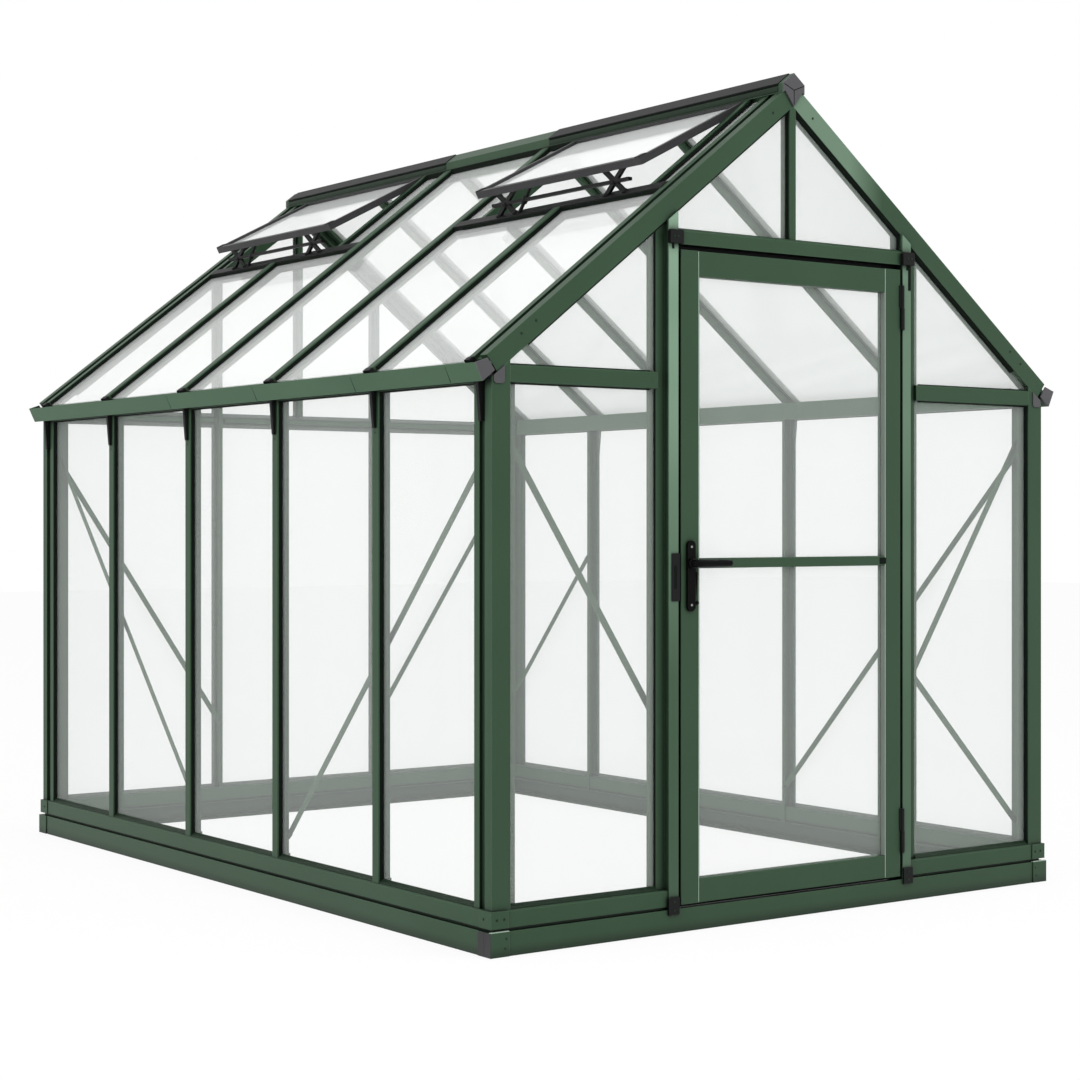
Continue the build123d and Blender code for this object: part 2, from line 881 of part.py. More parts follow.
def leaf_rail(low, high, reach):
    section = [(inward, height) for height, inward in leaf_section(low, high)]
    return rail(section, "front", -reach, reach)


def leaf_groove():
    return leaf_front + (leaf_depth - slot) / 2


def make_door():
    half = leaf_width / 2
    inner = half - stile
    mid_low = mid_bar_height - mid_bar / 2
    mid_high = mid_bar_height + mid_bar / 2
    sight_low = leaf_bottom + bottom_rail
    sight_high = leaf_top - top_rail
    held = sheet(rectangle(-inner - door_groove, sight_low - door_groove, inner + door_groove,
                           sight_high + door_groove), "front", leaf_groove(), slot)
    bore = wall_point("front", stile / 2 - half, leaf_back + overrun, spindle_height)
    spindle_hole = extrude(Plane(bore, z_dir=(0, -1, 0)) * Circle(spindle_radius + spindle_clearance),
                           amount=2 * overrun)
    save("door_stiles", leaf_stile(-half, -inner) - held - spindle_hole, leaf_stile(inner, half) - held)
    save("door_rails", leaf_rail(leaf_bottom, sight_low, inner) - held,
         leaf_rail(sight_high, leaf_top, inner) - held)
    core = rectangle(-inner, mid_low + bar_web, inner, mid_high - bar_web)
    bar_held = held - sheet(core, "front", leaf_front, leaf_depth)
    save("door_mid_bar", leaf_rail(mid_low, mid_high, inner) - bar_held)
    reach = door_groove - edge_clearance
    pane_face = leaf_groove() + seat_clearance
    lower = rectangle(-inner - reach, sight_low - reach, inner + reach, mid_low + bar_web - edge_clearance)
    upper = rectangle(-inner - reach, mid_high - bar_web + edge_clearance, inner + reach, sight_high + reach)
    save("door_panes", sheet(lower, "front", pane_face, glass), sheet(upper, "front", pane_face, glass))
    stop_side = rectangle(opening_half - stop_width - leaf_side_gap, base_height, opening_half, head_bottom)
    stop_top = rectangle(stop_width + leaf_side_gap - opening_half, head_bottom - stop_width - leaf_head_gap,
                         opening_half - stop_width - leaf_side_gap, head_bottom)
    save("door_stops", *left_and_right(sheet(stop_side, "front", leaf_back + stop_gap, stop_wall)),
         sheet(stop_top, "front", leaf_back + stop_gap, stop_wall))
    make_furniture(stile / 2 - half, spindle_hole)


# A turned neck and a tapered round bar, reaching out from a plate's face in the given direction
def lever_side(centre, plate_face, direction):
    foot = wall_point("front", centre, plate_face, spindle_height)
    elbow = wall_point("front", centre, plate_face + direction * hub_reach, spindle_height)
    hub_plane = Plane(foot, z_dir=(0, direction, 0))
    hub = extrude(hub_plane * Circle(hub_radius), amount=hub_collar)
    hub += extrude(hub_plane * Circle(neck_radius), amount=hub_reach + lever_radius)
    length = lever_length - hub_radius
    grip = [
        (0, 0),
        (lever_radius, 0),
        (lever_tip_radius, length - lever_tip_chamfer),
        (lever_tip_radius - lever_tip_chamfer, length),
        (0, length),
    ]
    grip_plane = Plane(elbow, x_dir=(0, 0, 1), z_dir=(0, 1, 0))
    return hub + revolve(grip_plane * outline(grip), axis=Axis(elbow, (1, 0, 0)))


def make_furniture(centre, spindle_hole):
    front_face = leaf_front - plate_depth
    back_face = leaf_back + plate_depth
    plates = []
    for face in (front_face, leaf_back):
        middle = wall_point("front", centre, face + plate_depth, plate_centre)
        plane = Plane(middle, x_dir=(1, 0, 0), z_dir=(0, -1, 0))
        shape = plane * SlotOverall(plate_height, plate_width, rotation=90)
        plates.append(extrude(shape, amount=plate_depth) - spindle_hole)
    save("door_plates", *plates)
    rod_end = wall_point("front", centre, back_face + seat_clearance, spindle_height)
    rod_length = back_face - front_face + 2 * seat_clearance
    rod = extrude(Plane(rod_end, z_dir=(0, -1, 0)) * Circle(spindle_radius), amount=rod_length)
    lever = rod + lever_side(centre, front_face - seat_clearance, -1)
    lever = lever + lever_side(centre, back_face + seat_clearance, 1)
    save("door_lever", lever)
    hinges()
    keep_low = spindle_height - keep_drop - keep_height / 2
    keep_edge = rectangle(-opening_half, keep_low, keep_wall - opening_half, keep_low + keep_height)
    keep_face = rectangle(-opening_half - keep_flange, keep_low, keep_wall - opening_half,
                          keep_low + keep_height)
    save("door_keep", sheet(keep_edge, "front", leaf_front - keep_wall, keep_width)
         + sheet(keep_face, "front", leaf_front - keep_wall, keep_wall))
    block_inner = opening_half - head_block_lap
    block_outer = opening_half + block_width
    block_top = head_bottom + head_block_height
    head_block = [
        (block_inner, head_bottom),
        (block_outer, head_bottom),
        (block_outer, block_top - head_block_chamfer),
        (block_outer - head_block_chamfer, block_top),
        (block_inner + head_block_chamfer, block_top),
        (block_inner, block_top - head_block_chamfer),
    ]
    foot_low = base_height - foot_drop
    foot = rectangle(opening_half, foot_low, block_outer, foot_low + foot_height)
    save("door_frame_brackets",
         *left_and_right(sheet(head_block, "front", leaf_front - head_block_wall, head_block_wall)),
         *left_and_right(sheet(foot, "front", leaf_front - block_wall, block_wall)))


# Hinges: the upper knuckle turns with the leaf, the lower one stays on the post
def hinges():
    axis = (leaf_width + leaf_side_gap) / 2
    door_half = leaf_width / 2
    door_parts = []
    post_parts = []
    for height in (hinge_low, hinge_high):
        middle = wall_point("front", axis, leaf_front - hinge_forward, height)
        gap = Vector(0, 0, hinge_split / 2)
        upper = extrude(Plane(middle + gap) * Circle(hinge_radius), amount=hinge_height)
        lower = extrude(Plane(middle - gap) * Circle(hinge_radius), amount=-hinge_height)
        low = height + hinge_split / 2
        door_leaf = rectangle(door_half - hinge_leaf_width, low, axis, low + hinge_height)
        door_parts.append(upper + sheet(door_leaf, "front", leaf_front - hinge_leaf_wall, hinge_leaf_wall))
        high = height - hinge_split / 2
        post_leaf = rectangle(axis, high - hinge_height, opening_half + hinge_leaf_width, high)
        post_parts.append(lower + sheet(post_leaf, "front", leaf_front - hinge_leaf_wall, hinge_leaf_wall))
    save("door_hinges", *door_parts)
    save("post_hinges", *post_parts)


# Flat diagonal braces on the inner faces of the bars

def brace(side, start, end):
    run = Vector(end[0] - start[0], end[1] - start[1])
    across = Vector(-run.Y, run.X).normalized() * (brace_width / 2)
    points = [
        (start[0] + across.X, start[1] + across.Y),
        (start[0] - across.X, start[1] - across.Y),
        (end[0] - across.X, end[1] - across.Y),
        (end[0] + across.X, end[1] + across.Y),
    ]
    return sheet(points, side, bar_depth, brace_wall)


def make_braces():
    end = half_length - brace_inset
    bar = abs(bar_places[1])
    pieces = []
    for side, hand in (("left", -1), ("left", 1), ("right", -1)):
        pieces.append(brace(side, (hand * end, side_brace_top), (hand * bar, side_brace_foot)))
    # The rear brace of the right wall rises from the corner to the nearest bar
    pieces.append(brace("right", (end, rear_brace_foot), (abs(bar_places[0]), rear_brace_top)))
    corner = half_width - brace_inset
    door_side = opening_half + door_post_face / 2
    front = brace("front", (corner, front_brace_top), (door_side, front_brace_foot))
    back = brace("back", (corner, back_brace_top), (back_post_offset, back_brace_foot))
    low = brace("front", (door_side, low_brace_top), (corner, low_brace_foot))
    pieces += [front + low, mirror(front, about=Plane.YZ), *left_and_right(back)]
    save("braces", *pieces)


os.makedirs("parts", exist_ok=True)
make_base()
make_walls()
make_gables()
make_roof()
make_ridge_and_eaves()
make_vents()
make_glass()
make_door()
make_braces()
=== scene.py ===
import json
import math
import bmesh
import bpy
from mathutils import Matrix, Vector


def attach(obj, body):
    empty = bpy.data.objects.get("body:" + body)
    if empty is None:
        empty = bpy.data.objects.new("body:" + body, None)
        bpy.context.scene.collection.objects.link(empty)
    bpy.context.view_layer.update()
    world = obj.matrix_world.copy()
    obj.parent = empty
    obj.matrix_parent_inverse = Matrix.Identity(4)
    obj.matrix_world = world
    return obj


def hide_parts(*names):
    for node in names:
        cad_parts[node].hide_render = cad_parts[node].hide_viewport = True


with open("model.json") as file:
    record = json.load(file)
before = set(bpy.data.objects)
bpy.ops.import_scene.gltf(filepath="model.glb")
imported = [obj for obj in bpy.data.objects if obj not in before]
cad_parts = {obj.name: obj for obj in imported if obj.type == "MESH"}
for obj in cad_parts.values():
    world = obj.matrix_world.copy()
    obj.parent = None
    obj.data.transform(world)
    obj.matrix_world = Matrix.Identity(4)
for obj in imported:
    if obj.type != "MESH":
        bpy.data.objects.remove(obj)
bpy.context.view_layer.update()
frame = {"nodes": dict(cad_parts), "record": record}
nodes = frame["nodes"]
print("frame loaded:", len(nodes), "nodes")


class Wire:  # a shader socket that takes part in plain arithmetic
    def __init__(self, tree, socket):
        self.tree = tree
        self.socket = socket

    def math(self, operation, *values):
        made = self.tree.nodes.new("ShaderNodeMath")
        made.operation = operation
        for socket, value in zip(made.inputs, values):
            plug(self.tree, socket, value)
        return Wire(self.tree, made.outputs[0])

    def __add__(self, other):
        return self.math("ADD", self, other)

    def __sub__(self, other):
        return self.math("SUBTRACT", self, other)

    def __rsub__(self, other):
        return self.math("SUBTRACT", other, self)

    def __mul__(self, other):
        return self.math("MULTIPLY", self, other)

    def __pow__(self, other):
        return self.math("POWER", self, other)

    def atLeast(self, other):
        return self.math("MAXIMUM", self, other)

    def atMost(self, other):
        return self.math("MINIMUM", self, other)

    def above(self, other):
        return self.math("GREATER_THAN", self, other)

    __radd__ = __add__
    __rmul__ = __mul__


def plug(tree, socket, value):
    if isinstance(value, Wire):
        tree.links.new(value.socket, socket)
    else:
        socket.default_value = value


class Finish:  # a material or world whose nodes are added one at a time
    def __init__(self, owner):
        owner.use_nodes = True
        self.tree = owner.node_tree
        self.tree.nodes.clear()

    def add(self, kind, settings=None, inputs=None, out=0):
        made = self.tree.nodes.new(kind)
        for name, value in (settings or {}).items():
            setattr(made, name, value)
        for name, value in (inputs or {}).items():
            plug(self.tree, made.inputs[name], value)
        return Wire(self.tree, made.outputs[out]) if made.outputs else None

    def end(self, shader, kind="ShaderNodeOutputMaterial"):
        self.add(kind, None, {"Surface": shader})

    def place(self, stretch=(1, 1, 1)):
        spot = self.add("ShaderNodeTexCoord", out="Object")
        return self.add("ShaderNodeMapping", None, {"Vector": spot, "Scale": stretch})

    def axis(self, name):
        spot = self.add("ShaderNodeTexCoord", out="Object")
        return self.add("ShaderNodeSeparateXYZ", None, {0: spot}, out=name)

    def noise(self, spot, scale, detail=3.0, rough=0.55):
        inputs = {"Vector": spot, "Scale": scale, "Detail": detail, "Roughness": rough}
        return self.add("ShaderNodeTexNoise", None, inputs)

    def blend(self, amount, first, second):
        made = {"data_type": "RGBA", "blend_type": "MIX"}
        return self.add("ShaderNodeMix", made, {0: amount, 6: first, 7: second}, out=2)

    def height(self, wire, distance, strength=1.0, normal=None):
        inputs = {"Height": wire, "Distance": distance, "Strength": strength}
        if normal:
            inputs["Normal"] = normal
        return self.add("ShaderNodeBump", None, inputs)

    def edges(self, radius, gain=3.4):  # 0 on flat faces, towards 1 along sharp edges
        rounded = self.add("ShaderNodeBevel", {"samples": 4}, {"Radius": radius})
        flat = self.add("ShaderNodeNewGeometry", out="Normal")
        product = {"operation": "DOT_PRODUCT"}
        likeness = self.add("ShaderNodeVectorMath", product, {0: rounded, 1: flat}, out="Value")
        return (1 - likeness) * gain, rounded

    def openness(self, reach, power):  # 1 in the open, towards 0 deep in a groove
        return self.add("ShaderNodeAmbientOcclusion", {"samples": 4}, {"Distance": reach}, out="AO") ** power


def rgb(red, green, blue):  # screen values of a colour, as linear light
    def linear(value):
        share = value / 255
        return share / 12.92 if share <= 0.04045 else ((share + 0.055) / 1.055) ** 2.4
    return (linear(red), linear(green), linear(blue), 1.0)


# Finishes

paintLook = {
    "deep": rgb(37, 63, 41),
    "fresh": rgb(48, 74, 52),
    # pale edge colour: wear, and a painted highlight along the edges
    "edge": rgb(108, 134, 112),
    # near-black green painted into grooves and recesses as shade
    "groove": rgb(5, 13, 7),
    # lighter tones of the same paint for the eave rails: painted light
    "eaveLitDeep": rgb(47, 76, 53),
    "eaveLitFresh": rgb(59, 90, 65),
    "lit": rgb(88, 120, 95),
    "litFresh": rgb(140, 168, 146),
    "glint": rgb(109, 135, 114),
    "edgeRadius": 0.0022,
    "wearAndHighlight": (0.35, 0.5),
    "wearAndHighlightMost": 0.6,
    "rough": 0.44,
    "roughPeel": 0.16,
    "roughCloud": 0.05,
    "gloss": 0.26,
    "cloudScale": 2.6,
    "peelScale": 620.0,
    "peelDepth": 0.00012,
    "peelStrength": 0.5,
    "grooveReach": 0.036,
    "groovePower": 1.9,
}
highlightLook = {  # where the painted highlight is brightest
    "bandStretch": (0.1, 0.1, 1.0),
    "bandScale": 2.3,
    "postFoot": 0.75,
    "postGain": 0.95,
    "postFace": 1.5415,
    "leftPost": (0.12, 0.88),
    "rightPost": (0.25, 0.3),
    "rafterEnd": 0.38,
    "rafterFade": 7.0,
    "rafterShare": 0.75,
    "facing": 0.9,
}


def paintedPostHighlight(f, body):  # painted highlight on the door posts' front faces, brightest high on the left post
    look = highlightLook
    band = f.noise(f.place(look["bandStretch"]), look["bandScale"], 2.0)
    high = ((f.axis("Z") - look["postFoot"]) * look["postGain"]).atLeast(0.0).atMost(1.0)
    frontFace = (f.axis("Y") * -1).above(look["postFace"])
    leftPost = (f.axis("X") * -1).above(0.0)
    leftFoot, leftRise = look["leftPost"]
    rightFoot, rightRise = look["rightPost"]
    share = leftPost * (leftFoot + high * leftRise) + (1 - leftPost) * (rightFoot + high * rightRise)
    return f.blend(frontFace * share, body, f.blend(band, paintLook["lit"], paintLook["litFresh"]))


def paintedRafterHighlight(f, body):  # painted highlight on the front face of the right front rafter's upper end
    look = highlightLook
    run = f.axis("X")
    normal = f.add("ShaderNodeNewGeometry", out="Normal")
    frontFace = (f.add("ShaderNodeSeparateXYZ", None, {0: normal}, out="Y") * -1).above(look["facing"])
    share = ((look["rafterEnd"] - run) * look["rafterFade"]).atLeast(0.0).atMost(1.0) * run.above(0.0)
    return f.blend(frontFace * share * look["rafterShare"], body, paintLook["glint"])


def makePaint(name, tones=("deep", "fresh"), paintHighlight=None):
    look = paintLook
    paint = bpy.data.materials.new(name)
    f = Finish(paint)
    spot = f.place()
    cloud = f.noise(spot, look["cloudScale"], 4.0)
    peel = f.noise(spot, look["peelScale"], 2.0)
    wornAndLitEdges, rounded = f.edges(look["edgeRadius"])
    body = f.blend(cloud, look[tones[0]], look[tones[1]])
    # some coats get a painted highlight laid over their tone
    if paintHighlight:
        body = paintHighlight(f, body)
    # edges are lightened by wear and by a painted highlight
    least, rise = look["wearAndHighlight"]
    edgeWearAndHighlight = (wornAndLitEdges * (least + cloud * rise)).atMost(look["wearAndHighlightMost"])
    # painted shade: ambient occlusion darkens grooves and recesses towards the groove shade colour
    inputs = {
        "Base Color": f.blend(f.openness(look["grooveReach"], look["groovePower"]), look["groove"],
                              f.blend(edgeWearAndHighlight, body, look["edge"])),
        "Roughness": look["rough"] + (peel - 0.5) * look["roughPeel"] + cloud * look["roughCloud"],
        "Normal": f.height(peel, look["peelDepth"], look["peelStrength"], rounded),
        "Specular IOR Level": look["gloss"],
    }
    f.end(f.add("ShaderNodeBsdfPrincipled", None, inputs))
    return paint


def mouldedTones(deep, fresh, edge, rough, gloss):
    return {"deep": rgb(*deep), "fresh": rgb(*fresh), "edge": rgb(*edge), "rough": rough, "gloss": gloss}


mouldedLook = {
    "grey": mouldedTones((66, 65, 68), (80, 79, 82), (126, 125, 127), rough=0.5, gloss=0.3),
    "sash": mouldedTones((42, 42, 44), (58, 57, 59), (96, 96, 98), rough=0.48, gloss=0.25),
    "black": mouldedTones((11, 12, 12), (21, 22, 22), (64, 65, 65), rough=0.52, gloss=0.16),
    "rubber": mouldedTones((6, 12, 8), (13, 22, 15), (34, 42, 36), rough=0.7, gloss=0.1),
    # dark green of painted shade, for the shade beads and for screw heads
    "bead": mouldedTones((18, 34, 21), (26, 45, 29), (66, 88, 70), rough=0.5, gloss=0.2),
    "glazing": mouldedTones((104, 112, 106), (120, 127, 121), (146, 152, 147), rough=0.5, gloss=0.2),
    "pale": mouldedTones((150, 172, 155), (168, 188, 172), (196, 208, 198), rough=0.4, gloss=0.3),
    "cloudScale": 7.0,
    "edgeRadius": 0.0018,
    "wearAndHighlight": 0.5,
    "wearAndHighlightMost": 0.55,
    "grainScale": 900.0,
    "grainDepth": 0.00016,
    "grainStrength": 0.6,
    "roughGrain": 0.25,
}


def makeMoulded(name, kind):
    shared = mouldedLook
    look = shared[kind]
    plastic = bpy.data.materials.new(name)
    f = Finish(plastic)
    spot = f.place()
    cloud = f.noise(spot, shared["cloudScale"], 3.0)
    grain = f.noise(spot, shared["grainScale"], 2.0)
    wornAndLitEdges, rounded = f.edges(shared["edgeRadius"])
    body = f.blend(cloud, look["deep"], look["fresh"])
    # edges are lightened by wear and by a painted highlight
    inputs = {
        "Base Color": f.blend((wornAndLitEdges * shared["wearAndHighlight"]).atMost(shared["wearAndHighlightMost"]), body, look["edge"]),
        "Roughness": look["rough"] + (grain - 0.5) * shared["roughGrain"],
        "Normal": f.height(grain, shared["grainDepth"], shared["grainStrength"], rounded),
        "Specular IOR Level": look["gloss"],
    }
    f.end(f.add("ShaderNodeBsdfPrincipled", None, inputs))
    return plastic


handleLook = {
    "deep": rgb(4, 5, 4),
    "fresh": rgb(9, 11, 9),
    "edge": rgb(40, 42, 40),
    "edgeRadius": 0.0012,
    "wearAndHighlight": 0.5,
    "wearAndHighlightMost": 0.5,
    "cloudScale": 60.0,
    "rough": 0.32,
    "roughCloud": 0.18,
    "grainScale": 700.0,
    "grainDepth": 0.00008,
    "grainStrength": 0.5,
    "gloss": 0.06,
}


def makeHandleBlack():
    look = handleLook
    coat = bpy.data.materials.new("black enamel")
    f = Finish(coat)
    spot = f.place()
    cloud = f.noise(spot, look["cloudScale"], 3.0)
    grain = f.noise(spot, look["grainScale"])
    wornAndLitEdges, rounded = f.edges(look["edgeRadius"])
    body = f.blend(cloud, look["deep"], look["fresh"])
    # edges are lightened by wear and by a painted highlight
    inputs = {
        "Base Color": f.blend((wornAndLitEdges * look["wearAndHighlight"]).atMost(look["wearAndHighlightMost"]), body, look["edge"]),
        "Roughness": look["rough"] + (cloud - 0.5) * look["roughCloud"],
        "Normal": f.height(grain, look["grainDepth"], look["grainStrength"], rounded),
        "Specular IOR Level": look["gloss"],
    }
    f.end(f.add("ShaderNodeBsdfPrincipled", None, inputs))
    return coat


steelLook = {
    "dull": rgb(120, 122, 120),
    "bright": rgb(186, 187, 185),
    "edgeRadius": 0.0005,
    "wearAndHighlight": 0.2,
    "metal": 0.9,
    "rough": 0.26,
    "roughSpangle": 0.2,
    "spangleScale": 340.0,
    "spangleDepth": 0.00005,
    "spangleStrength": 0.4,
}


def makeSteel():
    look = steelLook
    steel = bpy.data.materials.new("zinc plated steel")
    f = Finish(steel)
    spangle = f.noise(f.place(), look["spangleScale"], 3.0)
    wornAndLitEdges, rounded = f.edges(look["edgeRadius"])
    # edges are brightened by wear and by a painted highlight
    inputs = {
        "Base Color": f.blend((spangle + wornAndLitEdges * look["wearAndHighlight"]).atMost(1.0), look["dull"], look["bright"]),
        "Metallic": look["metal"],
        "Roughness": look["rough"] + spangle * look["roughSpangle"],
        "Normal": f.height(spangle, look["spangleDepth"], look["spangleStrength"], rounded),
    }
    f.end(f.add("ShaderNodeBsdfPrincipled", None, inputs))
    return steel


glassLook = {  # alpha is for one face of a pane, and a ray meets two
    # the pale veil is partly the panes' own haze and partly painted reflection of the bright surround; it is
    # thickest on the vent and roof panes
    "wall": {"clear": rgb(214, 221, 217), "veil": rgb(232, 238, 235), "alpha": 0.12},
    "roof": {"clear": rgb(240, 243, 241), "veil": rgb(250, 252, 251), "alpha": 0.32},
    "vent": {"clear": rgb(232, 235, 234), "veil": rgb(248, 250, 249), "alpha": 0.74},
    "sheenStretch": (1.0, 0.35, 0.6),
    "sheenScale": 1.1,
    "streakStretch": (14.0, 14.0, 0.5),
    "streakShare": 0.25,
    "rough": 0.04,
    "roughStreak": 0.05,
    "bend": 1.5,
}


def makeGlass(name, kind):
    shared = glassLook
    look = shared[kind]
    glass = bpy.data.materials.new(name)
    f = Finish(glass)
    # noise varies the veil across a pane as a painted sheen
    sheen = f.noise(f.place(shared["sheenStretch"]), shared["sheenScale"], 2.0)
    streak = f.noise(f.place(shared["streakStretch"]), 1.0, 2.0)
    mixed = (sheen * (1 - shared["streakShare"]) + streak * shared["streakShare"]).atMost(1.0)
    inputs = {
        "Base Color": f.blend(mixed, look["clear"], look["veil"]),
        "Roughness": shared["rough"] + streak * shared["roughStreak"],
        "Alpha": look["alpha"],
        "IOR": shared["bend"],
    }
    f.end(f.add("ShaderNodeBsdfPrincipled", None, inputs))
    return glass


paint = makePaint("green powder coat")
rubber = makeMoulded("black rubber", "rubber")
shadedBead = makeMoulded("dark green bead, painted shade", "bead")
# pale moulding for thin strips that paint highlights on edges
paintedEdgeHighlight = makeMoulded("painted edge highlight", "pale")
greyBead = makeMoulded("grey glazing bead", "glazing")
steel = makeSteel()
finishes = {
    "frame_paint": paint,
    "grey_plastic": makeMoulded("grey moulded plastic", "grey"),
    "black_plastic": makeMoulded("black moulded plastic", "black"),
    "handle_black": makeHandleBlack(),
    "wall_glass": makeGlass("wall glass", "wall"),
    "roof_glass": makeGlass("roof glass", "roof"),
}
ownFinishes = {
    "vent_panes": makeGlass("vent glass", "vent"),
    "vent_frames": makeMoulded("dark moulded sash", "sash"),
    # the door posts and front rafters get a painted highlight in their coat
    "door_posts": makePaint("post coat with painted highlight", paintHighlight=paintedPostHighlight),
    "front_rafters": makePaint("rafter coat with painted highlight", paintHighlight=paintedRafterHighlight),
    # the eave rails get the lighter copy of the paint: painted light
    "eave_left": makePaint("eave coat with painted light", ("eaveLitDeep", "eaveLitFresh")),
}
ownFinishes["eave_right"] = ownFinishes["eave_left"]


def dressSolids():
    for part in frame["record"]["subparts"]:
        solid = nodes[part["node"]].data
        solid.materials.clear()
        solid.materials.append(ownFinishes.get(part["node"], finishes[part["material_slot"]]))
        if part["material_slot"] in ("wall_glass", "roof_glass"):
            nodes[part["node"]].visible_shadow = False  # clear glass lets the soft light through
    caps = nodes["end_caps"].data  # the back eave caps are painted, as the photograph shows
    caps.materials.append(paint)
    for face in caps.polygons:
        if face.center.y > 0 and abs(face.center.x) > 0.5:
            face.material_index = 1


dressSolids()
print("solids dressed")


# Places on the house, in metres, as the solids have them

house = {
    "halfWidth": 1.123, "halfLength": 1.5375, "wallTop": 1.597, "roofRise": 0.087, "pitch": 37.8,
    "sillTop": 0.127, "glassBack": 0.016, "bars": (-0.9225, -0.3075, 0.3075, 0.9225),
    "barHalf": 0.019, "cornerRun": 0.090, "postFace": 0.063, "rafterFace": 0.058,
    "doorway": 0.462, "doorPost": 0.036, "doorLip": 0.034, "doorFlange": 0.056, "headTop": 2.072,
    "eaveBar": (1.597, 1.647), "mullionHalf": 0.014, "backPost": 0.375,
    "ridgeDown": 0.0547, "ventSill": (0.5347, 0.5687), "ventCentres": (-0.9225, 0.9225), "jambOuter": 0.462,
    "leafFront": 0.009, "sightHalf": 0.383, "sightLow": 0.152, "sightHigh": 1.935, "midBar": (1.070, 1.100),
    "spindle": (-0.4175, 1.085), "plateMiddle": 1.048, "plateFace": 0.017,
}
slope = math.radians(house["pitch"])
apex = house["wallTop"] + house["roofRise"] + house["halfWidth"] * math.tan(slope)
up = Vector((0, 0, 1))
walls = {  # direction along the wall, direction outward, distance from the middle
    "front": (Vector((1, 0, 0)), Vector((0, -1, 0)), house["halfLength"]),
    "back": (Vector((-1, 0, 0)), Vector((0, 1, 0)), house["halfLength"]),
    "left": (Vector((0, -1, 0)), Vector((-1, 0, 0)), house["halfWidth"]),
    "right": (Vector((0, 1, 0)), Vector((1, 0, 0)), house["halfWidth"]),
}


def onWall(side, along, out, height):
    run, outward, reach = walls[side]
    return run * along + outward * (reach + out) + up * height


def downSlope(hand):
    return Vector((hand * math.cos(slope), 0, -math.sin(slope)))


def roofOut(hand):
    return Vector((hand * math.sin(slope), 0, math.cos(slope)))


def onRoof(hand, along, down, out):
    return Vector((0, along, apex)) + downSlope(hand) * down + roofOut(hand) * out


def roofHeight(across, depth=0.0):
    return apex - abs(across) * math.tan(slope) - depth / math.cos(slope)


# Mesh tools

def strip(half, shoulder, proud, bevel, base=0.0):  # section of a flat strip with bevelled edges
    return [(-half, base), (half, base), (half, shoulder), (half - bevel, proud), (bevel - half, proud),
            (-half, shoulder)]


def drawn(shape, profile, start, end, across, out):  # a profile drawn from start to end
    rings = [[shape.verts.new(place + across * a + out * o) for a, o in profile] for place in (start, end)]
    count = len(profile)
    for index in range(count):
        after = (index + 1) % count
        shape.faces.new((rings[0][index], rings[0][after], rings[1][after], rings[1][index]))
    shape.faces.new(rings[0][::-1])
    shape.faces.new(rings[1])


def turned(shape, profile, place, axis, steps=20):  # a (radius, height) profile turned about an axis
    axis = Vector(axis).normalized()
    side = axis.orthogonal().normalized()
    other = axis.cross(side)
    rings = []
    for radius, height in profile:
        middle = place + axis * height
        turns = [2 * math.pi * index / steps for index in range(steps if radius else 1)]
        spots = [middle + (side * math.cos(turn) + other * math.sin(turn)) * radius for turn in turns]
        rings.append([shape.verts.new(spot) for spot in spots])
    for lower, upper in zip(rings, rings[1:]):
        for index in range(steps):
            after = (index + 1) % steps
            corners = [lower[index % len(lower)], lower[after % len(lower)],
                       upper[after % len(upper)], upper[index % len(upper)]]
            shape.faces.new(list(dict.fromkeys(corners)))


def swept(shape, path, radii, steps=20):  # a round bar along a path, closed at both ends
    rings = []
    for index, (place, radius) in enumerate(zip(path, radii)):
        before = path[max(index - 1, 0)]
        after = path[min(index + 1, len(path) - 1)]
        along = (after - before).normalized()
        side = along.cross(up).normalized()
        other = side.cross(along)
        turns = [2 * math.pi * step / steps for step in range(steps)]
        spots = [place + (side * math.cos(turn) + other * math.sin(turn)) * radius for turn in turns]
        rings.append([shape.verts.new(spot) for spot in spots])
    for lower, upper in zip(rings, rings[1:]):
        for index in range(steps):
            after = (index + 1) % steps
            shape.faces.new((lower[index], lower[after], upper[after], upper[index]))
    shape.faces.new(rings[0][::-1])
    shape.faces.new(rings[-1])


def piece(name, shape, finish, body="frame", crease=35):
    bmesh.ops.recalc_face_normals(shape, faces=shape.faces)
    for edge in shape.edges:
        edge.smooth = edge.calc_face_angle(0) < math.radians(crease)
    for face in shape.faces:
        face.smooth = True
    mesh = bpy.data.meshes.new(name)
    shape.to_mesh(mesh)
    shape.free()
    mesh.materials.append(finish)
    made = bpy.data.objects.new(name, mesh)
    bpy.context.scene.collection.objects.link(made)
    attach(made, body)
    return made


# Rubber gaskets between the glass and the frame; green-black, they also paint the shade on the bars' sides

gasketLook = {
    "tall": [(0, 0), (0.0045, 0), (0.004, 0.003), (0.0022, 0.0098), (0.0012, 0.0112), (0, 0.0115)],
    "rafter": [(0, 0), (0.010, 0), (0.009, 0.003), (0.004, 0.0105), (0.002, 0.0122), (0, 0.0125)],
    "low": [(0, 0), (0.004, 0), (0.0034, 0.003), (0.0012, 0.0046), (0, 0.0048)],
    "ridge": [(0, 0), (0.011, 0), (0.008, 0.006), (0.003, 0.0165), (0, 0.017)],
    "sill": [(0, 0), (0.0135, 0), (0.0125, 0.0035), (0.0035, 0.0125), (0, 0.013)],
    "rafterStart": 0.046,
    "rafterPast": 0.004,
    "eavePast": 0.012,
    "sillHalf": 0.54,
}
doorBeadLook = {
    "profile": [(0, 0.0003), (0.003, 0.0003), (0.0026, 0.0135), (0, 0.0142)],
    "back": -0.006,
    "gap": 0.0005,
}


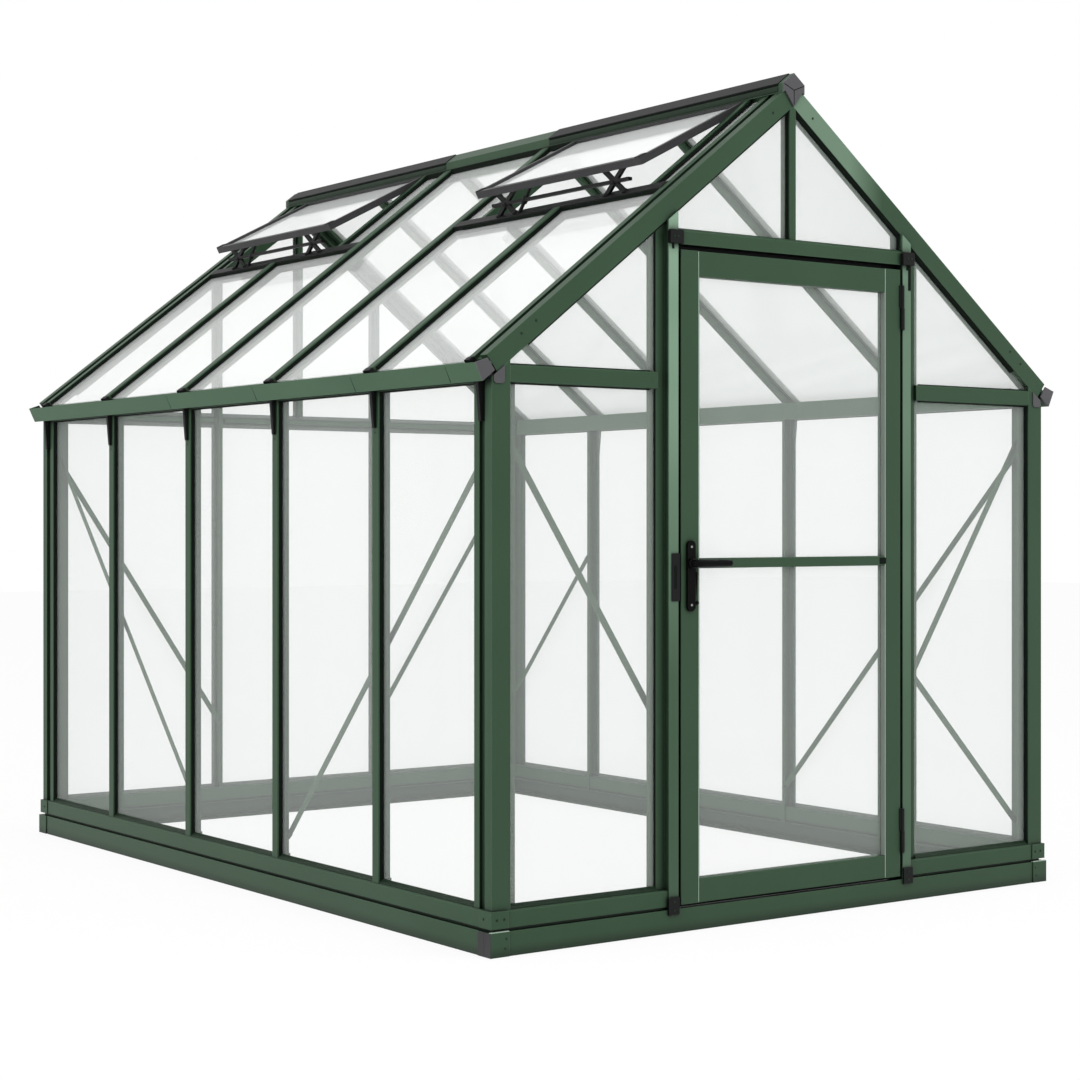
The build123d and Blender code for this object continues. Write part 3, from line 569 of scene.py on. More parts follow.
def wallGasket(shape, side, start, end, across, kind="tall"):
    run, outward = walls[side][:2]
    places = [onWall(side, along, -house["glassBack"], height) for along, height in (start, end)]
    way = run * across[0] + up * across[1]
    drawn(shape, gasketLook[kind], places[0], places[1], way, outward)


def roofGasket(shape, hand, start, end, across, kind="tall"):
    places = [onRoof(hand, along, down, -house["glassBack"]) for along, down in (start, end)]
    way = Vector((0, 1, 0)) * across[0] + downSlope(hand) * across[1]
    drawn(shape, gasketLook[kind], places[0], places[1], way, roofOut(hand))


def makeGaskets():
    h = house
    low, high = h["sillTop"], h["wallTop"]
    eaveLow, eaveHigh = h["eaveBar"]
    shape = bmesh.new()
    # dark green beads on the sills by the glass: painted shade
    sillShadeBeads = bmesh.new()
    bayEdge = h["halfLength"] - h["cornerRun"]
    for side in ("left", "right"):
        barEdges = [place + hand * h["barHalf"] for place in h["bars"] for hand in (-1, 1)]
        edges = [-bayEdge] + barEdges + [bayEdge]
        for start, end in zip(edges[0::2], edges[1::2]):
            wallGasket(shape, side, (start, low), (start, high), (1, 0))
            wallGasket(shape, side, (end, low), (end, high), (-1, 0))
            wallGasket(sillShadeBeads, side, (start, low), (end, low), (0, 1), "sill")
            wallGasket(shape, side, (start, high), (end, high), (0, -1))
    post = h["halfWidth"] - h["postFace"]
    lip = h["doorway"] + h["doorPost"] + h["doorLip"]
    flange = h["doorway"] + h["doorPost"] + h["doorFlange"]
    under = h["rafterFace"] / math.cos(slope)
    doorway, head, mullion = h["doorway"], h["headTop"], h["mullionHalf"]
    top = {x: roofHeight(x) - under for x in (lip, doorway, mullion)}
    for hand in (-1, 1):
        wallGasket(shape, "front", (hand * post, low), (hand * post, eaveLow), (-hand, 0))
        wallGasket(shape, "back", (hand * post, low), (hand * post, eaveLow), (-hand, 0))
        wallGasket(shape, "front", (hand * lip, low), (hand * lip, eaveLow), (hand, 0), "low")
        wallGasket(shape, "front", (hand * lip, eaveHigh), (hand * lip, top[lip]), (hand, 0), "low")
        wallGasket(sillShadeBeads, "front", (hand * lip, low), (hand * post, low), (0, 1), "sill")
        wallGasket(shape, "front", (hand * flange, eaveLow), (hand * post, eaveLow), (0, -1))
        wallGasket(shape, "front", (hand * flange, eaveHigh), (hand * post, eaveHigh), (0, 1))
        wallGasket(shape, "front", (hand * doorway, head), (hand * doorway, top[doorway]), (-hand, 0))
        for side, foot in (("front", head), ("back", eaveHigh)):
            wallGasket(shape, side, (hand * mullion, foot), (hand * mullion, top[mullion]), (hand, 0))
        wallGasket(shape, "front", (hand * mullion, head), (hand * doorway, head), (0, 1))
        for edge, way in ((h["backPost"] + h["barHalf"], hand), (h["backPost"] - h["barHalf"], -hand)):
            wallGasket(shape, "back", (hand * edge, low), (hand * edge, eaveLow), (way, 0))
            peak = roofHeight(edge) - under
            wallGasket(shape, "back", (hand * edge, eaveHigh), (hand * edge, peak), (way, 0))
        outer = h["backPost"] + h["barHalf"]
        wallGasket(sillShadeBeads, "back", (hand * outer, low), (hand * post, low), (0, 1), "sill")
        wallGasket(shape, "back", (hand * outer, eaveLow), (hand * post, eaveLow), (0, -1))
        wallGasket(shape, "back", (hand * outer, eaveHigh), (hand * post, eaveHigh), (0, 1))
    inner = h["backPost"] - h["barHalf"]
    for foot, way in ((eaveLow, -1), (eaveHigh, 1)):
        wallGasket(shape, "back", (-inner, foot), (inner, foot), (0, way))
    wallGasket(sillShadeBeads, "back", (-inner, low), (inner, low), (0, 1), "sill")
    piece("sill_shade_beads", sillShadeBeads, shadedBead)
    for side in ("front", "back"):  # along the undersides of the gable rafters
        outward, reach = walls[side][1:]
        shift = Vector((0, outward.y * (reach - h["glassBack"]), 0))
        for hand in (-1, 1):
            drops = [x / math.cos(slope) - h["rafterFace"] * math.tan(slope)
                     for x in (gasketLook["rafterStart"], post + gasketLook["rafterPast"])]
            ends = [shift + onRoof(hand, 0, drop, -h["rafterFace"]) for drop in drops]
            drawn(shape, gasketLook["rafter"], ends[0], ends[1], -roofOut(hand), outward)
    eave = (h["halfWidth"] + gasketLook["eavePast"]) / math.cos(slope)
    sillTop, sillFoot = h["ventSill"]
    for hand in (-1, 1):
        for place in h["bars"]:
            start = sillFoot if hand < 0 and place in h["ventCentres"] else h["ridgeDown"]
            for way in (-1, 1):
                edge = place + way * h["barHalf"]
                roofGasket(shape, hand, (edge, start), (edge, eave), (way, 0))
        for way in (-1, 1):
            roofGasket(shape, hand, (way * bayEdge, h["ridgeDown"]), (way * bayEdge, eave), (-way, 0))
    for centre in h["ventCentres"]:
        for way in (-1, 1):
            edge = centre + way * h["jambOuter"]
            roofGasket(shape, -1, (edge, h["ridgeDown"]), (edge, sillTop), (way, 0))
        half = gasketLook["sillHalf"]
        roofGasket(shape, -1, (centre - half, sillFoot), (centre + half, sillFoot), (0, 1))
    roofGasket(shape, 1, (-bayEdge, h["ridgeDown"]), (bayEdge, h["ridgeDown"]), (0, 1), "ridge")
    gap = h["ventCentres"][1] - h["jambOuter"]
    roofGasket(shape, -1, (-gap, h["ridgeDown"]), (gap, h["ridgeDown"]), (0, 1), "ridge")
    piece("glazing_gaskets", shape, rubber)


def makeDoorBeads():  # grey beads that hold the door's glass against the stiles
    h = house
    look = doorBeadLook
    shape = bmesh.new()
    for hand in (-1, 1):
        for foot, head in ((h["sightLow"], h["midBar"][0]), (h["midBar"][1], h["sightHigh"])):
            heights = (foot + look["gap"], head - look["gap"])
            ends = [onWall("front", hand * h["sightHalf"], look["back"], height) for height in heights]
            drawn(shape, look["profile"], ends[0], ends[1], Vector((-hand, 0, 0)), walls["front"][1])
    piece("door_beads", shape, greyBead, "door")


makeGaskets()
makeDoorBeads()
print("gaskets in place")


# Painted trim: flanges that show behind the glass, and the eave bars' ends at the door posts

flangeLook = {
    "face": -0.0208,
    "back": -0.0245,
    "barReach": 0.031,
    "postReach": 0.030,
    "sidePostReach": 0.018,
    "overlap": 0.004,
    "endSetback": 0.0155,
    "endChamfer": 0.003,
    "endPast": 0.0005,
}


def makePaintedTrim():
    h = house
    look = flangeLook
    shape = bmesh.new()
    low, high = h["sillTop"], h["wallTop"]
    eaveLow, eaveHigh = h["eaveBar"]
    bayEdge = h["halfLength"] - h["cornerRun"]

    def plate(side, start, end, foot, head):
        run, outward = walls[side][:2]
        profile = [(start, look["back"]), (end, look["back"]), (end, look["face"]), (start, look["face"])]
        drawn(shape, profile, onWall(side, 0, 0, foot), onWall(side, 0, 0, head), run, outward)

    for side in ("left", "right"):
        for place in h["bars"]:
            plate(side, place - look["barReach"], place + look["barReach"], low, high)
        for hand in (-1, 1):
            ends = sorted((hand * (bayEdge - look["sidePostReach"]), hand * (bayEdge + look["overlap"])))
            plate(side, ends[0], ends[1], low, high)
    post = h["halfWidth"] - h["postFace"]
    for side in ("front", "back"):
        for hand in (-1, 1):
            ends = sorted((hand * (post - look["postReach"]), hand * (post + look["overlap"])))
            plate(side, ends[0], ends[1], low, eaveLow)
    lip = h["doorway"] + h["doorPost"] + h["doorLip"]
    flange = h["doorway"] + h["doorPost"] + h["doorFlange"]
    setback, chamfer = look["endSetback"], look["endChamfer"]
    profile = [(eaveLow, -setback), (eaveHigh, -setback), (eaveHigh, -chamfer), (eaveHigh - chamfer, 0),
               (eaveLow + chamfer, 0), (eaveLow, -chamfer)]
    for hand in (-1, 1):
        ends = [onWall("front", hand * along, 0, 0) for along in (lip, flange + look["endPast"])]
        drawn(shape, profile, ends[0], ends[1], up, walls["front"][1])
    piece("painted_trim", shape, paint)


makePaintedTrim()
print("painted trim in place")


# Screws and bolts

screwLook = {  # radius and height of each head
    "pan": (0.0034, 0.0016),
    "small": (0.0026, 0.0014),
    "plate": (0.0038, 0.0012),
    "bolt": (0.0075, 0.0052),
    "dome": ((0, 0), (1, 0), (1, 0.35), (0.88, 0.8), (0.62, 1), (0.44, 1), (0.36, 0.4), (0, 0.35)),
    "washer": 0.0012,
    "washerReach": 1.35,
}
screwPlaces = {
    "rafter": ((0.985, 0.022), (1.035, 0.022), (0.1, 0.03)),  # across, and depth under the roof
    "sleeve": (1.086, 1.111),
    "sideSleeve": 1.508,
    "sleeveOut": 0.008,
    "sleeveHeight": 0.103,
    "lowSleeve": ((1.082, 0.05), (1.086, 0.023)),
    "lowSleeveOut": 0.012,
    "doorBlock": ((0.474, 0.023, 2.046), (0.488, 0.023, 2.046), (0.482, 0.015, 0.067), (0.482, 0.015, 0.092)),
    "barHeight": 1.475,
    "plateDrop": 0.086,
    "plateBack": -0.033,
    "braceOut": -0.052,
}


def panHead(shape, place, out, kind="pan"):
    radius, height = screwLook[kind]
    shares = screwLook["dome"]
    turned(shape, [(radius * across, height * rise) for across, rise in shares], place, out, 18)


def boltHead(shape, place, out):
    radius, height = screwLook["bolt"]
    washer, rim = screwLook["washer"], radius * screwLook["washerReach"]
    turned(shape, [(0, 0), (rim, 0), (rim, washer), (0, washer)], place, out, 24)
    head = [(0, washer), (radius, washer), (radius, height * 0.85), (radius * 0.86, height), (0, height)]
    turned(shape, head, place, out, 6)


def makeFrameScrews():
    h = house
    spots = screwPlaces
    shape = bmesh.new()
    for side in ("front", "back"):
        outward = walls[side][1]
        for hand in (-1, 1):
            for x, depth in spots["rafter"]:
                spot = onRoof(hand, 0, x / math.cos(slope), -depth)
                panHead(shape, spot + outward * h["halfLength"], outward)
            for x in spots["sleeve"]:
                panHead(shape, onWall(side, hand * x, spots["sleeveOut"], spots["sleeveHeight"]), outward)
            if side == "front":
                for x, z in spots["lowSleeve"]:
                    panHead(shape, onWall(side, hand * x, spots["lowSleeveOut"], z), outward, "small")
                for x, out, z in spots["doorBlock"]:
                    panHead(shape, onWall(side, hand * x, out, z), outward)
    for side in ("left", "right"):
        outward = walls[side][1]
        for hand in (-1, 1):
            spot = onWall(side, hand * spots["sideSleeve"], spots["sleeveOut"], spots["sleeveHeight"])
            panHead(shape, spot, outward)
        for place in h["bars"]:
            panHead(shape, onWall(side, place, 0.0, spots["barHeight"]), outward, "small")
    piece("frame_screws", shape, shadedBead)


def makeHandleScrews():
    shape = bmesh.new()
    x = house["spindle"][0]
    for hand in (-1, 1):
        height = house["plateMiddle"] + hand * screwPlaces["plateDrop"]
        for side, face in (("front", house["plateFace"]), ("back", screwPlaces["plateBack"])):
            panHead(shape, onWall("front", x, face, height), walls[side][1], "plate")
    piece("handle_screws", shape, steel, "door")


braceLook = {
    "boltIn": 0.014,
    "runs": {  # both ends of each brace, along its wall and up
        "left": [((-1.5009, 1.470), (-0.3075, 0.190)), ((1.5009, 1.470), (0.3075, 0.190))],
        "right": [((-1.5009, 1.470), (-0.3075, 0.190)), ((1.5009, 0.405), (0.9225, 1.060))],
        "front": [((-1.0864, 1.520), (-0.480, 0.590)), ((1.0864, 1.520), (0.480, 0.590)),
                  ((0.480, 0.800), (1.0864, 0.166))],
        "back": [((-1.0864, 1.455), (-0.375, 0.380)), ((1.0864, 1.455), (0.375, 0.380))],
    },
}


def makeBraceBolts():  # a bolt a little in from each end of the flat braces
    shape = bmesh.new()
    for side, runs in braceLook["runs"].items():
        inward = -walls[side][1]
        for ends in runs:
            first, second = Vector(ends[0]), Vector(ends[1])
            step = (second - first).normalized() * braceLook["boltIn"]
            for along, height in (first + step, second - step):
                boltHead(shape, onWall(side, along, screwPlaces["braceOut"], height), inward)
    piece("brace_bolts", shape, paint)


makeFrameScrews()
makeHandleScrews()
makeBraceBolts()
print("screws in place")


# Plugs on the low ends of the roof bars, and seams of the eave rails

plugLook = {
    "half": 0.0195,
    "lipHalf": 0.0135,
    "lipIn": 0.077,
    "start": 1.447,
    "end": 1.463,
    "top": 0.0012,
    "foot": -0.0155,
    "chamfer": 0.0028,
}


def makeBarPlugs():
    look = plugLook
    shape = bmesh.new()
    lipMiddle = house["halfLength"] - look["lipIn"]
    spots = [(place, look["half"]) for place in house["bars"]]
    spots += [(place, look["lipHalf"]) for place in (-lipMiddle, lipMiddle)]
    for hand in (-1, 1):
        for along, half in spots:
            shoulder = look["top"] - look["chamfer"]
            profile = strip(half, shoulder, look["top"], look["chamfer"], look["foot"])
            ends = [onRoof(hand, along, down, 0) for down in (look["start"], look["end"])]
            drawn(shape, profile, ends[0], ends[1], Vector((0, 1, 0)), roofOut(hand))
    piece("bar_end_plugs", shape, finishes["black_plastic"])


seamLook = {
    "width": 0.0018,
    "sunk": -0.0004,
    "proud": 0.0005,
    "foot": (1.156, 1.597),
    "lip": (1.1794, 1.6478),
    "span": (0.04, 0.9),
    "first": -1.44,
    "shift": 0.055,
}


def makeEaveSeams():
    look = seamLook
    shape = bmesh.new()
    for hand in (-1, 1):
        foot, lip = [Vector((hand * look[edge][0], 0, look[edge][1])) for edge in ("foot", "lip")]
        outward = Vector((hand * (lip - foot).z, 0, -(lip - foot).x * hand)).normalized()
        width, sunk, proud = look["width"], look["sunk"], look["proud"]
        profile = [(0, sunk), (width, sunk), (width, proud), (0, proud)]
        for place in house["bars"][:3] + (look["first"],):
            shift = Vector((0, place + look["shift"], 0))
            ends = [foot.lerp(lip, share) + shift for share in look["span"]]
            drawn(shape, profile, ends[0], ends[1], Vector((0, 1, 0)), outward)
    piece("eave_seams", shape, rubber)


makeBarPlugs()
makeEaveSeams()
print("eaves finished")


# Door furniture

leverLook = {
    "collar": 0.0155,
    "collarSteps": (0.0055, 0.0072, 0.0082, 0.0095),
    "collarEdge": 0.0012,
    "neck": 0.0118,
    "neckFoot": 0.006,
    "arm": 0.0125,
    "tip": 0.0102,
    "tipLength": 0.00816,
    "tipLeast": 0.0004,
    "reach": 0.023,
    "length": 0.137,
    "bend": 0.013,
    "faces": (0.0173, -0.0333),
    "bendSteps": 6,
    "armSteps": 8,
}


def makeLever():
    look = leverLook
    x, z = house["spindle"]
    along = walls["front"][0]
    collar, edge, neck = look["collar"], look["collarEdge"], look["neck"]
    low, rim, shelf, top = look["collarSteps"]
    collarProfile = [(0, 0), (collar, 0), (collar, low), (collar - edge, rim), (neck + edge, shelf),
                     (neck, top), (0, top)]
    straight = look["reach"] - look["bend"]
    tipStart = look["length"] - look["tipLength"]
    quarter = [math.pi / 2 * step / look["bendSteps"] for step in range(1, look["bendSteps"] + 1)]
    shape = bmesh.new()
    for side, face in zip(("front", "back"), look["faces"]):
        out = walls[side][1]
        foot = onWall("front", x, face, z)
        turned(shape, collarProfile, foot, out, 40)
        path = [foot + out * look["neckFoot"], foot + out * straight]
        radii = [neck, neck]
        for turn in quarter:  # the bend from the neck into the arm
            path.append(foot + out * (straight + look["bend"] * math.sin(turn))
                        + along * look["bend"] * (1 - math.cos(turn)))
            radii.append(neck)
        for step in range(1, look["armSteps"] + 1):  # the tapered arm
            share = step / look["armSteps"]
            run = look["bend"] + (tipStart - look["bend"]) * share
            path.append(foot + out * look["reach"] + along * run)
            radii.append(look["arm"] + (look["tip"] - look["arm"]) * share)
        for turn in quarter:  # the rounded tip
            path.append(foot + out * look["reach"] + along * (tipStart + look["tipLength"] * math.sin(turn)))
            radii.append(max(look["tip"] * math.cos(turn), look["tipLeast"]))
        swept(shape, path, radii, 28)
    lever = piece("lever_handle", shape, finishes["handle_black"], "lever", 50)
    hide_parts("door_lever")


doorTrimLook = {
    "brushTop": 0.0805,
    "brushFoot": 0.0722,
    "brushHalf": 0.444,
    "brushDepth": 0.007,
    "brushPlaces": (-0.004, -0.018),
    "bracket": strip(0.010, 0.0008, 0.0016, 0.002),
    "bracketSpan": (-0.022, 0.004),
    "bracketHeight": 1.085,
    "snibSide": 0.0215,
    "snibProud": 0.0135,
    "snibTop": 1.064,
    "snibFoot": 0.968,
    "snibBend": ((-0.010, -0.0035, 0.0), (-0.004, -0.001, -0.002), (0.0, 0.0, -0.009)),
    "snibRod": 0.0032,
    "snibKnob": 0.0062,
    "snibKnobOut": 0.0015,
}


def makeDoorTrim():
    look = doorTrimLook
    shape = bmesh.new()
    run, outward = walls["front"][:2]
    depth, drop = look["brushDepth"], look["brushFoot"] - look["brushTop"]
    profile = [(0, 0), (depth, 0), (depth * 0.75, drop), (depth * 0.25, drop)]
    for place in look["brushPlaces"]:
        ends = [onWall("front", hand * look["brushHalf"], place, look["brushTop"]) for hand in (-1, 1)]
        drawn(shape, profile, ends[0], ends[1], -outward, up)
    for hand in (-1, 1):  # angle brackets that tie the middle bar to the stiles
        face = onWall("front", hand * house["sightHalf"], house["leafFront"], look["bracketHeight"])
        ends = [face + run * hand * reach for reach in look["bracketSpan"]]
        drawn(shape, look["bracket"], ends[0], ends[1], up, outward)
    piece("door_brush", shape, rubber, "door")


def makeSnib():  # a rod beside the handle's plate that ends in a knob
    look = doorTrimLook
    side = house["spindle"][0] + look["snibSide"]
    proud, top, foot = look["snibProud"], look["snibTop"], look["snibFoot"]
    rod = [(side + along, proud + out, top + rise) for along, out, rise in look["snibBend"]]
    rod.append((side, proud, foot))
    shape = bmesh.new()
    swept(shape, [onWall("front", *spot) for spot in rod], [look["snibRod"]] * len(rod), 14)
    radius = look["snibKnob"]
    turns = [math.pi * step / 8 for step in range(1, 8)]
    ball = [(radius * math.sin(turn), radius - radius * math.cos(turn)) for turn in turns]
    knob = onWall("front", side, proud + look["snibKnobOut"], foot - radius)
    turned(shape, [(0, 0)] + ball + [(0, 2 * radius)], knob, up, 18)
    piece("door_snib", shape, finishes["handle_black"], "door", 50)


frameTrimLook = {
    "strips": [  # place along the front, place outward, foot, head, section
        (-0.475, 0.012, 1.011, 1.079,  # slot of the keep
         [(-0.0055, 0), (0.0055, 0), (0.0055, 0.0006), (-0.0055, 0.0006)]),
        (-0.482, 0.009, 2.011, 2.027, strip(0.0035, 0.0015, 0.0024, 0.0013)),  # tabs under the head blocks
        (0.482, 0.009, 2.011, 2.027, strip(0.0035, 0.0015, 0.0024, 0.0013)),
        (0.492, 0.009, 1.947, 2.027, strip(0.0055, 0.001, 0.0018, 0.0015)),  # strap on the hinge side
    ],
    "capOut": 0.005,
    "capMiddle": 2.531,
    "capEnds": ((0, 2.486), (-0.040, 2.5475), (0.040, 2.5475)),
    "capJoint": [(-0.0011, -0.0003), (0.0011, -0.0003), (0.0011, 0.0005), (-0.0011, 0.0005)],
    "plates": ((-1.5170, -1.4862), (-1.5490, -1.5186)),
    "plateOut": 0.012,
    "plateThick": 0.0009,
    "plateSpan": (0.001, 0.0685),
    "foot": strip(0.010, 0.0035, 0.0045, 0.001),
    "footIn": -0.048,
    "footSpan": (0.0692, 0.138),
}


def makeFrameTrim():
    look = frameTrimLook
    shape = bmesh.new()
    run, outward = walls["front"][:2]
    for along, out, foot, head, profile in look["strips"]:
        ends = [onWall("front", along, out, height) for height in (foot, head)]
        drawn(shape, profile, ends[0], ends[1], run, outward)
    for side in ("front", "back"):  # joints of the ridge end caps
        outward = walls[side][1]
        middle = onWall(side, 0, look["capOut"], look["capMiddle"])
        for x, z in look["capEnds"]:
            far = onWall(side, x, look["capOut"], z)
            drawn(shape, look["capJoint"], middle, far, (far - middle).normalized().cross(outward), outward)
    piece("frame_trim", shape, rubber)


def makeSleevePlates():  # split cover plates on the side faces of the lower front sleeves
    look = frameTrimLook
    shape = bmesh.new()
    for side in ("left", "right"):
        ends = [onWall(side, 0, look["plateOut"], height) for height in look["plateSpan"]]
        for start, end in look["plates"]:
            profile = [(start, 0), (end, 0), (end, look["plateThick"]), (start, look["plateThick"])]
            drawn(shape, profile, ends[0], ends[1], Vector((0, 1, 0)), walls[side][1])
    piece("sleeve_plates", shape, ownFinishes["vent_frames"])


def makeBarFeet():  # tabs that tie the wall bars to the inside of the sill
    look = frameTrimLook
    shape = bmesh.new()
    for side in ("left", "right"):
        run, outward = walls[side][:2]
        for place in house["bars"]:
            ends = [onWall(side, place, look["footIn"], height) for height in look["footSpan"]]
            drawn(shape, look["foot"], ends[0], ends[1], run, -outward)
    piece("bar_feet", shape, paint)


edgeLook = {
    "stile": [(-0.0011, -0.0006), (0.0011, -0.0006), (0.0008, 0.0004), (-0.0008, 0.0004)],
    "stileIn": 0.0016,
    "stileSpan": (0.0815, 2.0085),
    "sleeve": [(0.0118, 0.069), (0.0028, 0.069), (0.0028, 0.0707), (0.0108, 0.0709), (0.0118, 0.0703)],
    "sleeveSpan": (1.0715, 1.1345),
}


def makeBrightEdges():  # pale strips along the stiles' inner edges and the tops of the lower front sleeves: painted highlights
    look = edgeLook
    run, outward = walls["front"][:2]
    stiles, sleeves = bmesh.new(), bmesh.new()
    for hand in (-1, 1):
        inner = hand * (house["sightHalf"] + look["stileIn"])
        ends = [onWall("front", inner, house["leafFront"], height) for height in look["stileSpan"]]
        drawn(stiles, look["stile"], ends[0], ends[1], run, outward)
        ends = [onWall("front", hand * along, 0, 0) for along in look["sleeveSpan"]]
        drawn(sleeves, look["sleeve"], ends[0], ends[1], outward, up)
    piece("stile_edges", stiles, paintedEdgeHighlight, "door")
    piece("sleeve_edges", sleeves, paintedEdgeHighlight)


makeLever()
makeDoorTrim()
makeSnib()
makeFrameTrim()
makeSleevePlates()
makeBarFeet()
makeBrightEdges()
print("door furniture finished")


# Roof vents: painted shade strips along the ridge, blocks on the sash corners and pins through the opener
# links

ventLook = {
    "half": 0.44,
    "length": 0.47,
    "opening": 10.5,
    "depth": 0.024,
    "block": strip(0.013, 0.0015, 0.003, 0.0015, -0.0005),
    "blockBack": 0.030,
    "blockLength": 0.0298,
    "blockIn": 0.0135,
    "sashEdge": 0.009,
    "linkIn": 0.15,
    "linkSpread": 0.045,
    "pin": [(0, 0), (0.0075, 0), (0.0075, 0.010), (0.006, 0.012), (0, 0.0125)],
    "foot": [(0, -0.001), (0.011, -0.001), (0.011, 0.004), (0.0085, 0.007), (0, 0.007)],
    "ridgeHalf": 0.043,
    "coverHalf": 0.594,
    "beads": [  # piece, foot, head, how far proud, finish, slot
        ("ridge_shade_strips", 0.004, 0.0195, 0.0016, shadedBead, "frame_paint"),
        ("ridge_shadow_lines", 0.0215, 0.0262, 0.0014, rubber, "black_plastic"),
    ],
    "beadEdge": 0.001,
    "beadShoulder": 0.6,
}


def onSash(centre, down, along, out):
    tilt = math.radians(house["pitch"] - ventLook["opening"])
    fall = Vector((-math.cos(tilt), 0, -math.sin(tilt)))
    face = Vector((-math.sin(tilt), 0, math.cos(tilt)))
    return onRoof(-1, centre + along, house["ridgeDown"], 0) + fall * down + face * out


def makeVentTrim():
    look = ventLook
    shape = bmesh.new()
    along = Vector((0, 1, 0))
    for centre in house["ventCentres"]:
        fall = (onSash(centre, 1, 0, 0) - onSash(centre, 0, 0, 0)).normalized()
        face = (onSash(centre, 0, 0, 1) - onSash(centre, 0, 0, 0)).normalized()
        for hand in (-1, 1):  # corner blocks
            edge = hand * (look["half"] - look["blockIn"])
            start = onSash(centre, look["length"] - look["blockBack"], edge, 0)
            drawn(shape, look["block"], start, start + fall * look["blockLength"], along, face)
        low = onRoof(-1, centre, sum(house["ventSill"]) / 2, 0)
        high = onSash(centre, look["length"] - look["sashEdge"], 0, -look["depth"])
        reach = look["half"] - look["linkIn"]
        across = roofOut(-1).cross(along).normalized()
        for place in (-reach, reach):
            middle = low.lerp(high, 0.5) + along * place
            turned(shape, look["pin"], middle, -across, 18)
            turned(shape, look["pin"], middle, across, 18)
            for spread in (-look["linkSpread"], look["linkSpread"]):  # feet of the links on the sill
                turned(shape, look["foot"], low + along * (place + spread), roofOut(-1), 18)
    piece("vent_fittings", shape, finishes["black_plastic"])


def makeRidgeShadeStrips():  # a dark green strip of painted shade on the ridge's side, and a black painted shadow line under each ridge cover
    look = ventLook
    face = roofHeight(look["ridgeHalf"])
    for name, low, high, proud, finish, slot in look["beads"]:
        shape = bmesh.new()
        edge, shoulder = look["beadEdge"], proud * look["beadShoulder"]
        profile = [(low, 0), (high, 0), (high, shoulder), (high - edge, proud), (low + edge, proud),
                   (low, shoulder)]
        for centre in house["ventCentres"]:
            for hand in (-1, 1):
                across = hand * look["ridgeHalf"]
                ends = [Vector((across, centre + way * look["coverHalf"], face)) for way in (-1, 1)]
                drawn(shape, profile, ends[0], ends[1], up, Vector((hand, 0, 0)))
        piece(name, shape, finish)


makeVentTrim()
makeRidgeShadeStrips()
print("vents finished")


# Stage: white floor and surround, soft light, the photograph's own viewpoint

stageLook = {
    "floorSide": 60.0,
    "floorDrop": -0.002,
    "floorShade": 0.93,
    "floorGlow": 0.9,
    "ambient": 0.78,
    "cameraPlace": (-4.601, -6.5735, 1.2055),
    "cameraTurn": 35.88,
    "focal": 73.64,
    "sensor": 36.0,
    "farthest": 200.0,
    "rise": -0.0161,
}


def seenDirectly(f):  # camera rays, and what gloss and glass show of the surround
    path = {name: f.add("ShaderNodeLightPath", out=name) for name in
            ("Is Camera Ray", "Is Glossy Ray", "Is Transmission Ray")}
    return path["Is Camera Ray"].atLeast(path["Is Glossy Ray"]).atLeast(path["Is Transmission Ray"])


def makeSurround():
    world = bpy.data.worlds.new("studio")
    bpy.context.scene.world = world
    f = Finish(world)
    seen = seenDirectly(f)
    dim = stageLook["ambient"]
    glow = f.add("ShaderNodeBackground", None, {"Color": (1, 1, 1, 1), "Strength": dim + seen * (1 - dim)})
    f.end(glow, "ShaderNodeOutputWorld")


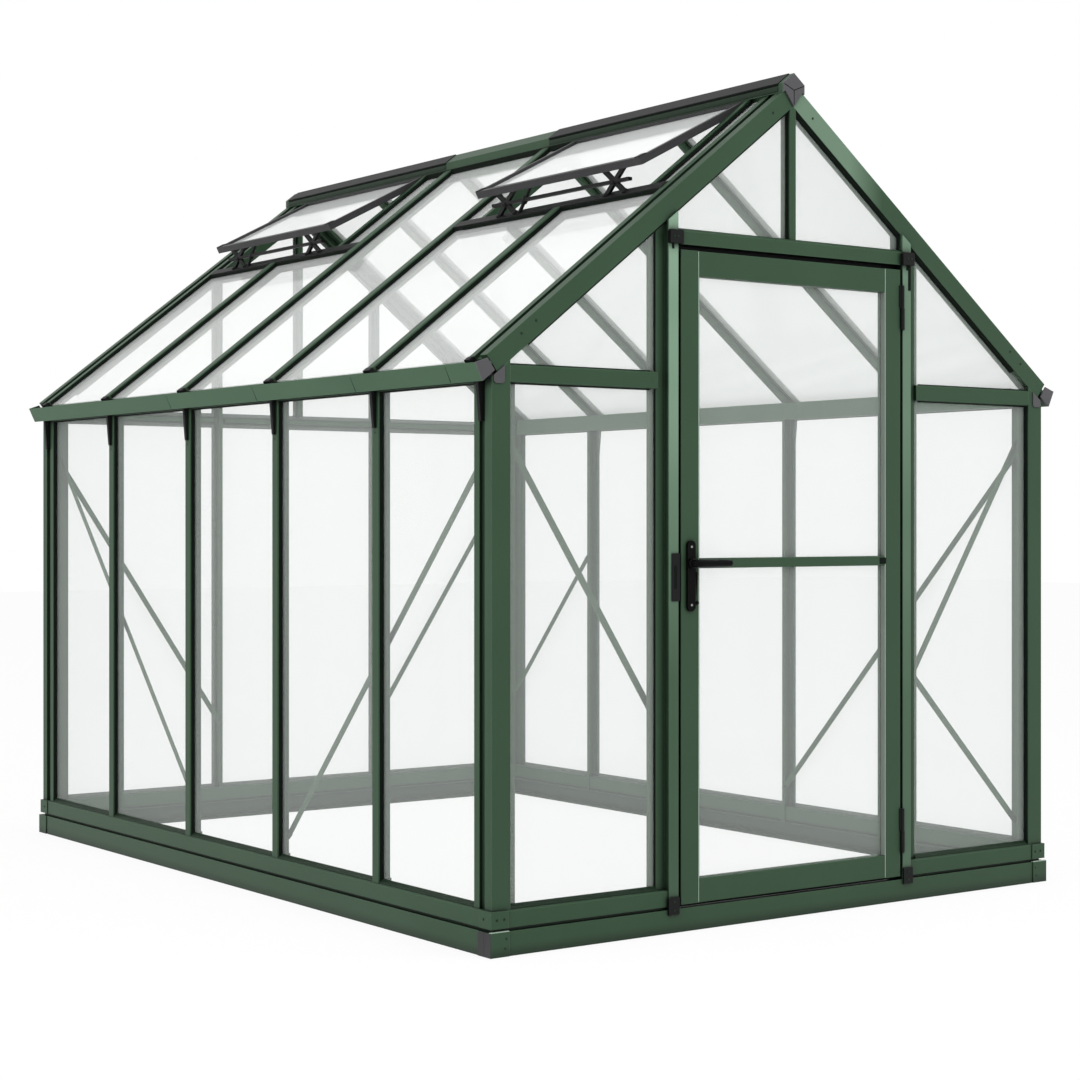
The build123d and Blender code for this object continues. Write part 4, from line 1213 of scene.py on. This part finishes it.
def makeFloor():
    side, drop = stageLook["floorSide"] / 2, stageLook["floorDrop"]
    mesh = bpy.data.meshes.new("floor")
    corners = [(-side, -side, drop), (side, -side, drop), (side, side, drop), (-side, side, drop)]
    mesh.from_pydata(corners, [], [(0, 1, 2, 3)])
    floor = bpy.data.objects.new("floor", mesh)
    bpy.context.scene.collection.objects.link(floor)
    pale = bpy.data.materials.new("pale floor")
    f = Finish(pale)
    shade = stageLook["floorShade"]
    matt = f.add("ShaderNodeBsdfDiffuse", None, {"Color": (shade, shade, shade, 1)})
    white = f.add("ShaderNodeEmission", None, {"Color": (1, 1, 1, 1), "Strength": 1.0})
    share = seenDirectly(f) * stageLook["floorGlow"]
    f.end(f.add("ShaderNodeMixShader", None, {0: share, 1: matt, 2: white}))
    mesh.materials.append(pale)


lamps = [
    {"name": "front soft box", "place": (2.6, -6.4, 6.2), "aim": (0, -1.5, 1.7), "size": 5.0, "power": 240},
    {"name": "side soft box", "place": (-8.8, -1.0, 1.6), "aim": (-1.0, 0, 1.4), "size": 6.0, "power": 310},
    {"name": "overhead soft box", "place": (-3.0, -1.0, 8.5), "aim": (0, 0, 1.0), "size": 7.0, "power": 110},
]


def makeLamps():
    for lamp in lamps:
        light = bpy.data.lights.new(lamp["name"], "AREA")
        light.energy = lamp["power"]
        light.size = lamp["size"]
        holder = bpy.data.objects.new(lamp["name"], light)
        holder.location = lamp["place"]
        aim = Vector(lamp["aim"]) - Vector(lamp["place"])
        holder.rotation_euler = aim.to_track_quat("-Z", "Y").to_euler()
        holder.visible_camera = False
        holder.visible_glossy = False
        bpy.context.scene.collection.objects.link(holder)


def makeCamera():
    lens = bpy.data.cameras.new("camera")
    lens.sensor_width = stageLook["sensor"]
    lens.lens = stageLook["focal"]
    lens.shift_y = stageLook["rise"]
    lens.clip_end = stageLook["farthest"]
    camera = bpy.data.objects.new("camera", lens)
    camera.location = stageLook["cameraPlace"]
    camera.rotation_euler = (math.radians(90), 0, math.radians(-stageLook["cameraTurn"]))
    bpy.context.scene.collection.objects.link(camera)
    bpy.context.scene.camera = camera


makeSurround()
makeFloor()
makeLamps()
makeCamera()
bpy.context.scene.view_settings.view_transform = "Standard"
print("stage set")
